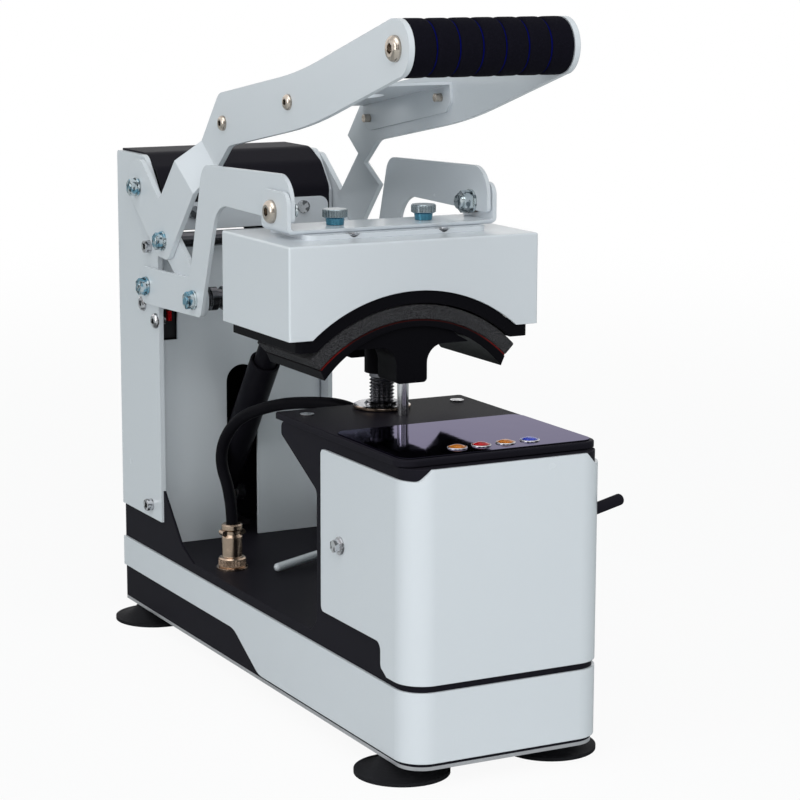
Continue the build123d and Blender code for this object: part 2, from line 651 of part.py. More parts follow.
# ---- swing arms, front bar -------------------------------------------------------------
arm_points = offset_points(arm_pivot, [(15.0, 15.1), (15.0, -14.5), (-105.6, -10.7)]) + [
    (arm_pivot[0] - 137.6, bracket_bolt[1] - 4.7),
    (bracket_bolt[0] - 23.4, bracket_bolt[1] - 6.2),
    (bracket_bolt[0] - 23.0, bracket_bolt[1] + 26.8),
    (arm_pivot[0] - 112.0, bracket_bolt[1] + 21.8),
    (arm_pivot[0] - 86.3, arm_pivot[1] + 16.9),
]
arm_radii = [14.0, 14.0, 6.0, 26.0, 3.0, 20.0, 14.0, 10.0]
pin_radius = knee_pin / 2
with BuildPart() as arm_left:
    extrude(upright_outline(arm_points, arm_radii, -arm_out), amount=arm_wall)
    extrude(disc(arm_pivot, pivot_pin / 2 + fit, -arm_out - 1), amount=arm_wall + 2, mode=Mode.SUBTRACT)
    extrude(disc(bar, pin_radius, -arm_out - 1), amount=arm_wall + 2, mode=Mode.SUBTRACT)
    extrude(disc(bracket_bolt, bolt_radius, -arm_out - 1), amount=arm_wall + 2, mode=Mode.SUBTRACT)
save("arm_left", arm_left)
with BuildPart() as arm_right:
    mirror(arm_left.part, about=Plane.YZ)
save("arm_right", arm_right)

nut_length = 6.5
nut_flats = 11.5
nut_flange = 7.4
bar_end = plate_in
with BuildPart() as arm_bar:
    extrude(disc(bar, front_bar / 2, 0), amount=bar_end - 5.0, both=True)
    extrude(disc(bar, knee_bar / 2, 0), amount=bar_end, both=True)
    extrude(disc(bar, pin_radius, 0), amount=arm_out, both=True)
    extrude(disc(bar, stud / 2, 0), amount=arm_out + nut_length + 0.5, both=True)
    # grooves near the ends of the thick bar
    for x in (-bar_end + 13.0, bar_end - 13.0):
        with BuildSketch(Plane.YZ.offset(x)):
            with Locations(bar):
                Circle(front_bar / 2 + 1)
                Circle(front_bar / 2 - 1.6, mode=Mode.SUBTRACT)
        extrude(amount=2.5, both=True, mode=Mode.SUBTRACT)
    for nut in both_sides([nut_with_flange(bar, arm_out, nut_flats, nut_flange, nut_length, stud / 2)]):
        add(nut)
save("arm_bar", arm_bar)

bracket_head_radius = 8.2
with BuildPart() as bracket_bolts:
    bolt = button_screw(bracket_bolt, ear_out, bracket_head_radius, 4.6, bolt_radius, 18.0)
    washer = extrude(disc(bracket_bolt, bracket_head_radius, arm_out), amount=washer_wall, mode=Mode.PRIVATE)
    washer -= bolt
    nut = nut_with_flange(bracket_bolt, -arm_in, 14.0, 8.6, 8.5, bolt_radius)
    for shape in both_sides([bolt, washer, nut]):
        add(shape)
save("bracket_bolts", bracket_bolts)

# ---- thumb screws ----------------------------------------------------------------------
for side, x in (("left", -thumb_x), ("right", thumb_x)):
    with BuildPart() as thumb_screw:
        seat = bracket_base + 0.15
        with BuildSketch(Plane(origin=(x, thumb_y, 0), x_dir=(1, 0, 0), z_dir=(0, -1, 0))):
            with BuildLine():
                Polyline((0, head_top - 8), (thumb_shank, head_top - 8), (thumb_shank, seat), (6.2, seat),
                         (6.6, seat + 4.4), (8.9, seat + 5.6), (8.9, seat + 10.2), (8.3, seat + 11.0),
                         (0, seat + 11.0), close=True)
            make_face()
        revolve(axis=Axis((x, thumb_y, 0), (0, 0, 1)))
        with Locations((x, thumb_y, seat + 8.3)):
            with PolarLocations(9.1, 24):
                Cylinder(0.6, 6.5, mode=Mode.SUBTRACT)
    save(f"thumb_screw_{side}", thumb_screw)

# ---- handle ----------------------------------------------------------------------------
upper_out = half - 12.0
upper_in = upper_out - plate
crease_low = offset_points(handle_pivot, [(-110.3, 4.8), (-75.3, 26.5)])  # front, rear
crease_high = offset_points(handle_pivot, [(-116.3, 22.8), (-89.4, 41.9)])
grip = (handle_pivot[0] - 400.5, handle_pivot[1] + 122.5)
lower_points = crease_low + offset_points(
    handle_pivot, [(-43.8, -5.9), (-7.3, 21.8), (19.1, 21.3), (19.1, -7.2), (-38.8, -49.4), (-58.8, -50.8)])
upper_points = [crease_high[1], crease_high[0]] + offset_points(
    handle_pivot,
    [(-139.3, 41.7), (-274.3, 64.8), (-407.0, 104.8), (-394.8, 141.3), (-258.3, 100.8), (-121.8, 79.0)])
brace_screw_spots = offset_points(handle_pivot, [(-129.8, 57.6), (-241.7, 79.5)])


def handle_side(x_low_plate, x_high_plate):
    """One bent handle plate: low part outside the frame, joggle, long high part."""
    low = upright_outline(lower_points, [0, 0, 2.5, 12, 17, 13, 10, 9], x_low_plate)
    high = upright_outline(upper_points, [0, 0, 18, 600, 0, 0, 500, 13], x_high_plate)
    ends = []
    for crease, x in ((crease_low, x_low_plate), (crease_high, x_high_plate)):
        with BuildSketch(Plane(origin=(x, *crease[0]), x_dir=(1, 0, 0),
                               z_dir=(0, crease[0][1] - crease[1][1], crease[1][0] - crease[0][0]))) as end:
            length = hypot(crease[1][0] - crease[0][0], crease[1][1] - crease[0][1])
            Rectangle(plate, length, align=(Align.MIN, Align.MIN))
        ends.append(end.sketch)
    return low, high, ends


with BuildPart() as handle_arm_left:
    low, high, ends = handle_side(-handle_out, -upper_out)
    extrude(low, amount=plate)
    extrude(high, amount=plate)
    extrude(disc(grip, grip_radius - 0.2, -upper_out), amount=plate)
    loft(ends)
    extrude(disc(handle_pivot, pivot_pin / 2 + fit, -handle_out - 1), amount=plate + 2, mode=Mode.SUBTRACT)
    extrude(disc(knee, pin_radius, -handle_out - 1), amount=plate + 2, mode=Mode.SUBTRACT)
    extrude(disc(grip, 4.0, -upper_out - 1), amount=plate + 2, mode=Mode.SUBTRACT)
    for spot in brace_screw_spots:
        extrude(disc(spot, 3.0, -upper_out - 1), amount=plate + 2, mode=Mode.SUBTRACT)
save("handle_arm_left", handle_arm_left)
with BuildPart() as handle_arm_right:
    mirror(handle_arm_left.part, about=Plane.YZ)
save("handle_arm_right", handle_arm_right)

brace_wall = 2.0
web_line = offset_points(handle_pivot, [(-119.3, 68.3), (-254.3, 91.2)])
flange_low = offset_points(handle_pivot, [(-130.9, 47.2), (-250.0, 69.6)])
web_slope = atan2(web_line[1][1] - web_line[0][1], web_line[0][0] - web_line[1][0])
web_drop = brace_wall / cos(web_slope)
with BuildPart() as handle_brace:
    outline = [web_line[0], (web_line[0][0] - 4.0, flange_low[0][1]), flange_low[1],
               (web_line[1][0] - 2.0, web_line[1][1] - 14.0), web_line[1]]
    extrude(upright_outline(outline, [0, 8, 8, 6, 0], -upper_in), amount=2 * upper_in)
    hollow = [(web_line[0][0] + 20, web_line[0][1] - 20 * sin(web_slope) - web_drop),
              (web_line[0][0] + 20, flange_low[0][1] - 20), (web_line[1][0] - 20, flange_low[0][1] - 20),
              (web_line[1][0] - 20, web_line[1][1] + 20 * sin(web_slope) - web_drop)]
    extrude(upright_outline(hollow, [0, 0, 0, 0], brace_wall - upper_in),
            amount=2 * (upper_in - brace_wall), mode=Mode.SUBTRACT)
    web_middle = ((web_line[0][0] + web_line[1][0]) / 2, (web_line[0][1] + web_line[1][1]) / 2)
    with BuildSketch(Plane(origin=(0, *web_middle), x_dir=(1, 0, 0), z_dir=(0, sin(web_slope), cos(web_slope)))):
        SlotOverall(76.0, 34.0)
    extrude(amount=10, both=True, mode=Mode.SUBTRACT)
    for spot in brace_screw_spots:
        extrude(disc(spot, 3.0, -upper_in - 1), amount=2 * upper_in + 2, mode=Mode.SUBTRACT)
save("handle_brace", handle_brace)

with BuildPart() as knee_shaft:
    extrude(disc(knee, knee_bar / 2, 0), amount=plate_in, both=True)
    extrude(disc(knee, pin_radius, 0), amount=handle_out, both=True)
    extrude(disc(knee, stud / 2, 0), amount=handle_out + nut_length + 0.5, both=True)
    for nut in both_sides([nut_with_flange(knee, handle_out, nut_flats, nut_flange, nut_length, stud / 2)]):
        add(nut)
save("knee_shaft", knee_shaft)

with BuildPart() as grip_tube:
    extrude(disc(grip, grip_tube_radius, 0), amount=upper_in, both=True)
    extrude(disc(grip, grip_tube_radius - 1.5, 0), amount=upper_in + 1, both=True, mode=Mode.SUBTRACT)
    for x in (-upper_in, upper_in - 12.0):
        extrude(disc(grip, grip_tube_radius - 1.5, x), amount=12.0)
    extrude(disc(grip, 4.0, 0), amount=upper_in + 1, both=True, mode=Mode.SUBTRACT)
save("grip_tube", grip_tube)

grip_segments = 7
groove = 1.4
segment = 2 * upper_in / grip_segments
with BuildPart() as foam_grip:
    extrude(disc(grip, grip_radius - 3.0, 0), amount=upper_in, both=True)
    for index in range(grip_segments):
        left = -upper_in + index * segment + groove / 2
        extrude(disc(grip, grip_radius, left), amount=segment - groove)
    rims = foam_grip.edges().filter_by(GeomType.CIRCLE).filter_by(lambda e: abs(e.radius - grip_radius) < 0.01)
    fillet(rims, 2.0)
    extrude(disc(grip, grip_tube_radius, 0), amount=upper_in + 1, both=True, mode=Mode.SUBTRACT)
save("foam_grip", foam_grip)

with BuildPart() as handle_screws:
    screws = [button_screw(spot, upper_out, 5.6, 3.2, 3.0, plate + brace_wall + 5.0) for spot in brace_screw_spots]
    screws.append(button_screw(grip, upper_out, 8.6, 4.4, 4.0, plate + 14.0))
    for screw in both_sides(screws):
        add(screw)
save("handle_screws", handle_screws)

# ---- toggle links ----------------------------------------------------------------------
link_span = hypot(knee[0] - bar[0], knee[1] - bar[1])
link_angle = degrees(atan2(knee[1] - bar[1], knee[0] - bar[0]))
link_run = ((knee[0] - bar[0]) / link_span, (knee[1] - bar[1]) / link_span)
with BuildPart() as links:
    for x in (-link_in - link_wall, link_in):
        with BuildSketch(Plane.YZ.offset(x)):
            with Locations(((bar[0] + knee[0]) / 2, (bar[1] + knee[1]) / 2)):
                SlotCenterToCenter(link_span, link_width, rotation=link_angle)
            with Locations((knee[0] + link_run[0] * link_end / 2, knee[1] + link_run[1] * link_end / 2)):
                SlotCenterToCenter(link_end, link_width, rotation=link_angle)
            with Locations(bar):
                Circle(pin_radius + fit, mode=Mode.SUBTRACT)
            with Locations(knee):
                SlotCenterToCenter(*link_slot, rotation=link_angle, mode=Mode.SUBTRACT)
        extrude(amount=link_wall)
save("links", links)

# ---- gas strut -------------------------------------------------------------------------
strut_span = hypot(bar[0] - strut_pivot[0], bar[1] - strut_pivot[1])
strut_run = ((bar[0] - strut_pivot[0]) / strut_span, (bar[1] - strut_pivot[1]) / strut_span)
strut_plane = Plane(origin=(0, *strut_pivot), x_dir=(1, 0, 0), z_dir=(0, *strut_run))
tube_end = strut_span - 73.0
rod_start = strut_span - 140.0
rod_clear = 1.3
tube_round = 0.8
strut_pin = 4.0
with BuildPart() as strut_cylinder:
    with BuildSketch(strut_plane.offset(16.0)):
        Circle(strut_tube_diameter / 2)
    extrude(amount=tube_end - 16.0)
    fillet(strut_cylinder.edges().filter_by(GeomType.CIRCLE), tube_round)
    with BuildSketch(strut_plane):
        Rectangle(9.0, 9.0)
    extrude(amount=18.0)
    extrude(disc(strut_pivot, 10.0, 0), amount=6.0, both=True)
    extrude(disc(strut_pivot, strut_pin + fit, 0), amount=10.0, both=True, mode=Mode.SUBTRACT)
    with BuildSketch(strut_plane.offset(24.0)):
        Circle(strut_rod_diameter / 2 + rod_clear)
    extrude(amount=strut_span, mode=Mode.SUBTRACT)
save("strut_cylinder", strut_cylinder)

eye_radius = front_bar / 2 + 4.0
with BuildPart() as strut_rod:
    with BuildSketch(strut_plane.offset(rod_start)):
        Circle(strut_rod_diameter / 2)
    extrude(amount=strut_span - rod_start - front_bar / 2 - 1)
    extrude(disc(bar, eye_radius, 0), amount=7.0, both=True)
    extrude(disc(bar, front_bar / 2 + fit, 0), amount=10.0, both=True, mode=Mode.SUBTRACT)
save("strut_rod", strut_rod)

with BuildPart() as strut_mount:
    ear = [(strut_pivot[0] - 12, deck_top), (strut_pivot[0] + 12, deck_top),
           (strut_pivot[0] + 12, strut_pivot[1] + 11), (strut_pivot[0] - 12, strut_pivot[1] + 11)]
    for x in (-10.0, 7.0):
        extrude(upright_outline(ear, [0, 0, 10, 10], x), amount=3.0)
    with Locations((0, strut_pivot[0], deck_top)):
        Box(44.0, 24.0, 3.0, align=(Align.CENTER, Align.CENTER, Align.MIN))
    extrude(disc(strut_pivot, strut_pin, 0), amount=18.0, both=True)
    extrude(disc(strut_pivot, 6.5, 14.0), amount=6.0)
    extrude(disc(strut_pivot, 6.5, -20.0), amount=6.0)
save("strut_mount", strut_mount)

# ---- rear column -----------------------------------------------------------------------
shoulder = (body_depth - 57.0, frame_top)
side_points = [
    (body_depth, wall_rear_top), (body_depth, frame_top), shoulder,
    (column_front, frame_top - 30.0), (column_front, wall_rear_top),
]
cap_screw_spots = [(arm_pivot[0], arm_pivot[1] + 31.0), (arm_pivot[0] + 4.5, wall_rear_top + 10.6)]
button_spots = [(arm_pivot[0] + 15.0, arm_pivot[1] - 15.5), (arm_pivot[0] - 10.5, arm_pivot[1] - 26.2)]
with BuildPart() as side_plate_left:
    extrude(upright_outline(side_points, [0, 3, 12, 3, 0], -half), amount=plate)
    for centre in (handle_pivot, arm_pivot):
        extrude(disc(centre, pivot_pin / 2, -half - 1), amount=plate + 2, mode=Mode.SUBTRACT)
    for centre in cap_screw_spots + button_spots:
        extrude(disc(centre, 3.0, -half - 1), amount=plate + 2, mode=Mode.SUBTRACT)
save("side_plate_left", side_plate_left)
with BuildPart() as side_plate_right:
    mirror(side_plate_left.part, about=Plane.YZ)
save("side_plate_right", side_plate_right)

cross_bottom = frame_top - 56.0
cross_top = frame_top - 35.0
hood_half = plate_in
hood_crown = frame_top + 1.5
hood_front = column_front - 3.0
with BuildPart() as rear_hood:
    outer = [(body_depth - sheet, hood_crown), (body_depth - 49.0, hood_crown),
             (body_depth - 71.0, frame_top - 9.0), (hood_front, frame_top - 27.0), (hood_front, cross_bottom)]
    inner = [(hood_front + sheet, cross_bottom), (hood_front + sheet, frame_top - 27.8),
             (body_depth - 70.0, frame_top - 10.8), (body_depth - 48.5, hood_crown - sheet),
             (body_depth - sheet, hood_crown - sheet)]
    extrude(upright_outline(outer + inner, [0, 20, 14, 10, 0, 0, 8, 12, 18, 0], -hood_half),
            amount=2 * hood_half)
save("rear_hood", rear_hood)

column_y = column_front + 11.0
column_bend = 251.0 - 73.0 + deck_top
lean_top = (hood_front + 1.0, cross_bottom - 3.0)
panel_depth = 20.0
strut_slot = 13.3
strut_slot_top = deck_top + 140.0
switch_window = (-67.0, -55.0, deck_top + 164.0, deck_top + 189.0)  # left, right, low, high
with BuildPart() as column_panel:
    outer = [(column_y, deck_top), (column_y, column_bend), lean_top,
             (lean_top[0] + panel_depth, lean_top[1]), (column_y + panel_depth, column_bend),
             (column_y + panel_depth, deck_top)]
    extrude(upright_outline(outer, [0, 20, 0, 0, 20, 0], -plate_in), amount=2 * plate_in)
    bends = column_panel.edges().filter_by_position(Axis.Y, lean_top[0] - 1, column_y + 0.5).filter_by(
        lambda edge: abs(abs(edge.center().X) - plate_in) < 0.01 and edge.length > 30)
    fillet(bends, 5.0)
    inner = [(column_y + sheet, deck_top - 1), (column_y + sheet, column_bend),
             (lean_top[0] + sheet, lean_top[1] + 1), (lean_top[0] + panel_depth + 5, lean_top[1] + 1),
             (column_y + panel_depth + 5, column_bend), (column_y + panel_depth + 5, deck_top - 1)]
    extrude(upright_outline(inner, [0, 20, 0, 0, 0, 0], sheet - plate_in), amount=2 * (plate_in - sheet),
            mode=Mode.SUBTRACT)
    with BuildSketch(Plane.XZ.offset(-column_y - 10)):
        with BuildLine():
            FilletPolyline((-strut_slot, deck_top - 5), (strut_slot, deck_top - 5),
                           (strut_slot, strut_slot_top), (-strut_slot, strut_slot_top),
                           radius=[0, 0, strut_slot - 0.1, strut_slot - 0.1], close=True)
        make_face()
    extrude(amount=30, mode=Mode.SUBTRACT)
    with Locations(((switch_window[0] + switch_window[1]) / 2, column_y, (switch_window[2] + switch_window[3]) / 2)):
        Box(switch_window[1] - switch_window[0], 24.0, switch_window[3] - switch_window[2], mode=Mode.SUBTRACT)
    for centre, radius in [(arm_pivot, pivot_pin / 2)] + [(spot, 3.0) for spot in cap_screw_spots + button_spots]:
        extrude(disc(centre, radius, -half), amount=body_width, mode=Mode.SUBTRACT)
save("column_panel", column_panel)

cross_half = plate_in - 2.0
cross_screw_spots = [(x, cross_bottom + 13.4) for x in (-47.0, 47.0)]
with BuildPart() as cross_plate:
    with BuildSketch(Plane.XZ.offset(-hood_front)):
        with BuildLine():
            FilletPolyline((-cross_half, cross_bottom), (cross_half, cross_bottom), (cross_half, cross_top),
                           (-cross_half, cross_top), radius=[1, 1, 7, 7], close=True)
        make_face()
        with Locations(*cross_screw_spots):
            Circle(2.5, mode=Mode.SUBTRACT)
    extrude(amount=sheet)
save("cross_plate", cross_plate)

inlet_spot = (-28.0, 44.0)
rocker_spot = (30.0, 44.0)
inlet_size = (28.0, 20.0)
rocker_size = (13.0, 19.0)
with BuildPart() as rear_panel:
    with BuildSketch(Plane.XZ.offset(-body_depth)):
        with BuildLine():
            Polyline((-plate_in, base_top), (plate_in, base_top), (plate_in, hood_crown - sheet - 0.05),
                     (-plate_in, hood_crown - sheet - 0.05), close=True)
        make_face()
        with Locations(inlet_spot):
            Rectangle(*inlet_size, mode=Mode.SUBTRACT)
        with Locations(rocker_spot):
            Rectangle(rocker_size[0] + 3.0, rocker_size[1] + 3.0, mode=Mode.SUBTRACT)
        for row in range(5):
            with Locations((0, 300.0 + 12.0 * row)):
                SlotOverall(70.0, 4.0, mode=Mode.SUBTRACT)
    extrude(amount=sheet)
save("rear_panel", rear_panel)

with BuildPart() as mains_inlet:
    # inlet with its flange, three blades, and the rocker's frame beside it
    with BuildSketch(Plane.XZ.offset(-body_depth - 2.5)):
        with Locations(inlet_spot):
            RectangleRounded(inlet_size[0] + 20.0, inlet_size[1] + 4.0, 3.0)
    extrude(amount=2.5)
    with BuildSketch(Plane.XZ.offset(-body_depth)):
        with Locations(inlet_spot):
            Rectangle(*inlet_size)
    extrude(amount=16.0)
    with BuildSketch(Plane.XZ.offset(-body_depth - 2.5)):
        with Locations(inlet_spot):
            RectangleRounded(24.0, 16.0, 2.0)
    extrude(amount=15.0, mode=Mode.SUBTRACT)
    for dx, dz in ((-7.0, -1.5), (0.0, 2.5), (7.0, -1.5)):
        with Locations((inlet_spot[0] + dx, body_depth - 12.5, inlet_spot[1] + dz)):
            Box(2.0, 12.0, 4.0, align=(Align.CENTER, Align.MIN, Align.CENTER))
    with BuildSketch(Plane.XZ.offset(-body_depth - 2.0)):
        with Locations(rocker_spot):
            RectangleRounded(rocker_size[0] + 6.0, rocker_size[1] + 6.0, 1.5)
    extrude(amount=2.0)
    with BuildSketch(Plane.XZ.offset(-body_depth)):
        with Locations(rocker_spot):
            Rectangle(rocker_size[0] + 3.0, rocker_size[1] + 3.0)
    extrude(amount=18.0)
    with BuildSketch(Plane.XZ.offset(-body_depth - 2.5)):
        with Locations(rocker_spot):
            Rectangle(rocker_size[0] + 0.4, rocker_size[1] + 0.8)
    extrude(amount=16.5, mode=Mode.SUBTRACT)
    with Locations((rocker_spot[0], body_depth - 5.0, rocker_spot[1])):
        Cylinder(1.5, rocker_size[0] + 1.0, rotation=(0, 90, 0))
save("mains_inlet", mains_inlet)

rocker_tilt = 9.0
with BuildPart() as power_rocker:
    axis = (body_depth - 5.0, rocker_spot[1])
    profile = [(axis[0] - 5.0, axis[1] - 3.5), (axis[0] - 5.0, axis[1] + 3.5),
               (axis[0] + 7.6, axis[1] + 8.6), (axis[0] + 6.6, axis[1]), (axis[0] + 9.2, axis[1] - 8.6)]
    extrude(upright_outline(profile, [1, 1, 1, 20, 1], rocker_spot[0] - rocker_size[0] / 2),
            amount=rocker_size[0])
    extrude(disc(axis, 1.5 + fit, rocker_spot[0] - 10), amount=20, mode=Mode.SUBTRACT)
save("power_rocker", power_rocker)

# ---- microswitch in the column's window ------------------------------------------------
switch_front = column_y + 4.0
switch_low = switch_window[2] + 1.0
plunger_spot = (-61.0, switch_low + 18.0)
with BuildPart() as microswitch:
    with Locations((sheet - plate_in, switch_front, switch_low)):
        Box(switch_window[1] - 0.2 + plate_in - sheet, 12.5, 30.0, align=(Align.MIN, Align.MIN, Align.MIN))
    with BuildSketch(Plane.XZ.offset(-switch_front - 10)):
        with Locations(plunger_spot):
            Rectangle(3.0 + 2 * fit, 8.0 + 2 * fit)
    extrude(amount=12.0, mode=Mode.SUBTRACT)
save("microswitch", microswitch)
with BuildPart() as switch_plunger:
    with Locations((plunger_spot[0], switch_front - 3.5, plunger_spot[1])):
        Box(3.0, 9.0, 8.0, align=(Align.CENTER, Align.MIN, Align.CENTER))
save("switch_plunger", switch_plunger)

# ---- pivot bolts and the frame's small screws ------------------------------------------
with BuildPart() as pivot_bolts:
    for centre, inner, outer in (
        (handle_pivot, plate_in, handle_out + side_play),
        (arm_pivot, plate_in - sheet, arm_out + side_play),
    ):
        with BuildPart(mode=Mode.PRIVATE) as bolt:
            extrude(hexagon(centre, 13.0, inner), amount=-5.3)
            extrude(disc(centre, pivot_pin / 2, inner - 1.0), amount=outer - inner + 1.0)
            extrude(disc(centre, stud / 2, outer), amount=nut_length + 0.5)
        nut = nut_with_flange(centre, outer, nut_flats, nut_flange, nut_length, stud / 2)
        for shape in both_sides([bolt.part, nut]):
            add(shape)
save("pivot_bolts", pivot_bolts)

with BuildPart() as frame_screws:
    screws = [button_screw(spot, half, 6.0, 3.0, 3.0, plate + sheet + 1.0) for spot in button_spots]
    for spot, shank in zip(cap_screw_spots, (plate + sheet + 4.0, 24.0)):
        with BuildPart(mode=Mode.PRIVATE) as cap:
            extrude(disc(spot, 4.8, half), amount=5.0)
            extrude(hexagon(spot, 4.6, half + 2.5), amount=5.0, mode=Mode.SUBTRACT)
            extrude(disc(spot, 3.0, half), amount=-shank)
        screws.append(cap.part)
    with BuildPart(mode=Mode.PRIVATE) as flange_screw:
        extrude(disc(cover_screw_spot, 6.2, half), amount=1.4)
        extrude(hexagon(cover_screw_spot, 8.0, half + 1.4), amount=4.2)
        extrude(disc(cover_screw_spot, 3.0, half), amount=-2 * sheet - 4.0)
    screws.append(flange_screw.part)
    for screw in both_sides(screws):
        add(screw)
    for x, z in cross_screw_spots:
        with Locations((x, hood_front - sheet, z)):
            Cylinder(5.0, 2.6, rotation=(90, 0, 0), align=(Align.CENTER, Align.CENTER, Align.MIN))
            Cylinder(2.5, sheet, rotation=(90, 0, 0), align=(Align.CENTER, Align.CENTER, Align.MAX))
    for x, y in panel_screw_spots:
        with Locations((x, y, box_top)):
            Cylinder(5.0, 1.0, align=(Align.CENTER, Align.CENTER, Align.MIN))
            Cylinder(2.0, 10.0, align=(Align.CENTER, Align.CENTER, Align.MAX))
    for x, y in foot_spots:
        with Locations((x, y, foot_height - 6.0)):
            Cylinder(foot_screw_radius, 6.0 + base_sheet + 6.0, align=(Align.CENTER, Align.CENTER, Align.MIN))
save("frame_screws", frame_screws)

# ---- levers ----------------------------------------------------------------------------
lever_radius = 4.0
lever_tip_x = half + 21.0
lever_run = (cos(radians(side_lever_tilt)), 0, sin(radians(side_lever_tilt)))
with BuildPart() as side_lever:
    with BuildSketch(Plane(origin=(side_lever_pivot_x, *side_lever_spot), z_dir=lever_run)):
        Circle(lever_radius)
    extrude(amount=(lever_tip_x - side_lever_pivot_x) / lever_run[0])
    tip = side_lever.edges().filter_by(GeomType.CIRCLE).sort_by(Axis.X)[-1]
    fillet(tip, lever_radius - 1.2)
    with Locations((side_lever_pivot_x, side_lever_spot[0], side_lever_spot[1])):
        Cylinder(6.0, side_hub, rotation=(90, 0, 0))
        Cylinder(2.5 + fit, 20.0, rotation=(90, 0, 0), mode=Mode.SUBTRACT)
save("side_lever", side_lever)

rod_radius = 3.2
lever_vector = Vector(*deck_lever_tip) - Vector(deck_lever_pin[0], deck_lever_pin[1], deck_lever_pin[2])
lever_plane = Plane(origin=deck_lever_pin, z_dir=lever_vector.normalized())
with BuildPart() as deck_lever:
    with BuildSketch(lever_plane.offset(5.0)):
        Circle(rod_radius)
    extrude(amount=lever_vector.length - 5.0)
    tip = deck_lever.edges().filter_by(GeomType.CIRCLE).sort_by(Axis.X)[0]
    fillet(tip, rod_radius - 0.1)
    with Locations(deck_lever_pin):
        Cylinder(7.0, 5.0, rotation=(90, 0, 0))
        Cylinder(3.0 + fit, 12.0, rotation=(90, 0, 0), mode=Mode.SUBTRACT)
save("deck_lever", deck_lever)

# ---- socket, plug, cable and gland -----------------------------------------------------
socket_plate = 1.5
plug_base = deck_top + socket_plate
plug_top = 108.0
clamp_reach = 7.4  # connector axis to the screws of its cable clamp
with BuildPart() as panel_socket:
    with Locations((plug_spot[0], plug_spot[1], deck_top)):
        Cylinder(12.0, socket_plate, align=(Align.CENTER, Align.CENTER, Align.MIN))
        Cylinder(socket_radius, 20.0, align=(Align.CENTER, Align.CENTER, Align.MAX))
save("panel_socket", panel_socket)

with BuildPart() as cable_plug:
    with BuildSketch(Plane(origin=(*plug_spot, 0), x_dir=(1, 0, 0), z_dir=(0, -1, 0))):
        with BuildLine():
            Polyline(
                (0, plug_base), (10.0, plug_base), (10.5, plug_base + 1.0), (10.5, plug_base + 6.6),
                (9.6, plug_base + 7.6), (7.8, plug_base + 8.4), (7.8, plug_base + 23.5),
                (6.4, plug_base + 25.5), (6.4, plug_base + 28.0), (8.0, plug_base + 29.5),
                (8.0, plug_top - 0.8), (6.8, plug_top), (0, plug_top), close=True)
        make_face()
    revolve(axis=Axis((*plug_spot, 0), (0, 0, 1)))
    with Locations((*plug_spot, plug_base + 3.8)):
        with PolarLocations(10.8, 24):
            Cylinder(0.7, 5.2, mode=Mode.SUBTRACT)
    # the neck's cable clamp: a screw boss on each side
    with Locations(*[(plug_spot[0] + side * clamp_reach, plug_spot[1], plug_base + 26.8) for side in (-1, 1)]):
        Cylinder(2.2, 7.0, rotation=(90, 0, 0))
save("cable_plug", cable_plug)

gland_front = box_wall
gland_length = 20.0
with BuildPart() as cable_gland:
    with BuildSketch(Plane.XZ.offset(-gland_front)):
        with Locations(gland_spot):
            RegularPolygon(gland_hex / 2, 6, major_radius=False)
    extrude(amount=-6.0)
    with BuildSketch(Plane.XZ.offset(-gland_front)):
        with Locations(gland_spot):
            Circle(7.0)
    extrude(amount=-gland_length, taper=4)
    with BuildSketch(Plane.XZ.offset(-gland_front)):
        with Locations(gland_spot):
            Circle(gland_thread)
    extrude(amount=6.0)
save("cable_gland", cable_gland)

gland_end = gland_front + gland_length
cable_points = [
    (-51.0, 333.0, 108.0), (-51.0, 333.0, 128.0), (-57.0, 345.0, 160.0), (-50.0, 328.0, 190.0),
    (-36.0, 290.0, 206.0), (-22.0, 256.0, 212.5), (-4.0, 229.0, 213.5), (14.0, 216.0, 199.0),
    (19.0, 210.0, 174.0), (16.0, 193.0, 156.0), (14.0, 175.0, 150.0), (14.0, gland_end, 150.0),
]


def corner_radii(points):
    """Largest even bend at each corner: 0.45 of the shorter run over the half turn's tangent."""
    radii = []
    for before, corner, after in zip(points, points[1:], points[2:]):
        run_in = Vector(*corner) - Vector(*before)
        run_out = Vector(*after) - Vector(*corner)
        half_turn = radians(run_in.get_angle(run_out)) / 2
        radii.append(0.45 * min(run_in.length, run_out.length) * cos(half_turn) / sin(half_turn))
    return radii


cable_radii = corner_radii(cable_points)
print("cable radii", [round(radius, 1) for radius in cable_radii])
with BuildPart() as cable:
    with BuildLine() as route:
        FilletPolyline(*cable_points, radius=cable_radii)
    start = Vector(*cable_points[1]) - Vector(*cable_points[0])
    with BuildSketch(Plane(origin=cable_points[0], z_dir=start.normalized())):
        Circle(cable_diameter / 2)
    sweep(path=route.wires()[0])
section = pi * cable_diameter**2 / 4
print("cable length", round(route.wires()[0].length, 1), "volume ratio",
      round(cable.part.volume / (section * route.wires()[0].length), 4))
save("cable", cable)
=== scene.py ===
"""Finishes, soft pieces, cable and studio for a cap heat press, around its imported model."""

from math import asin, cos, pi, radians, sin, sqrt

import bmesh
import bpy
from mathutils import Matrix, Vector, noise


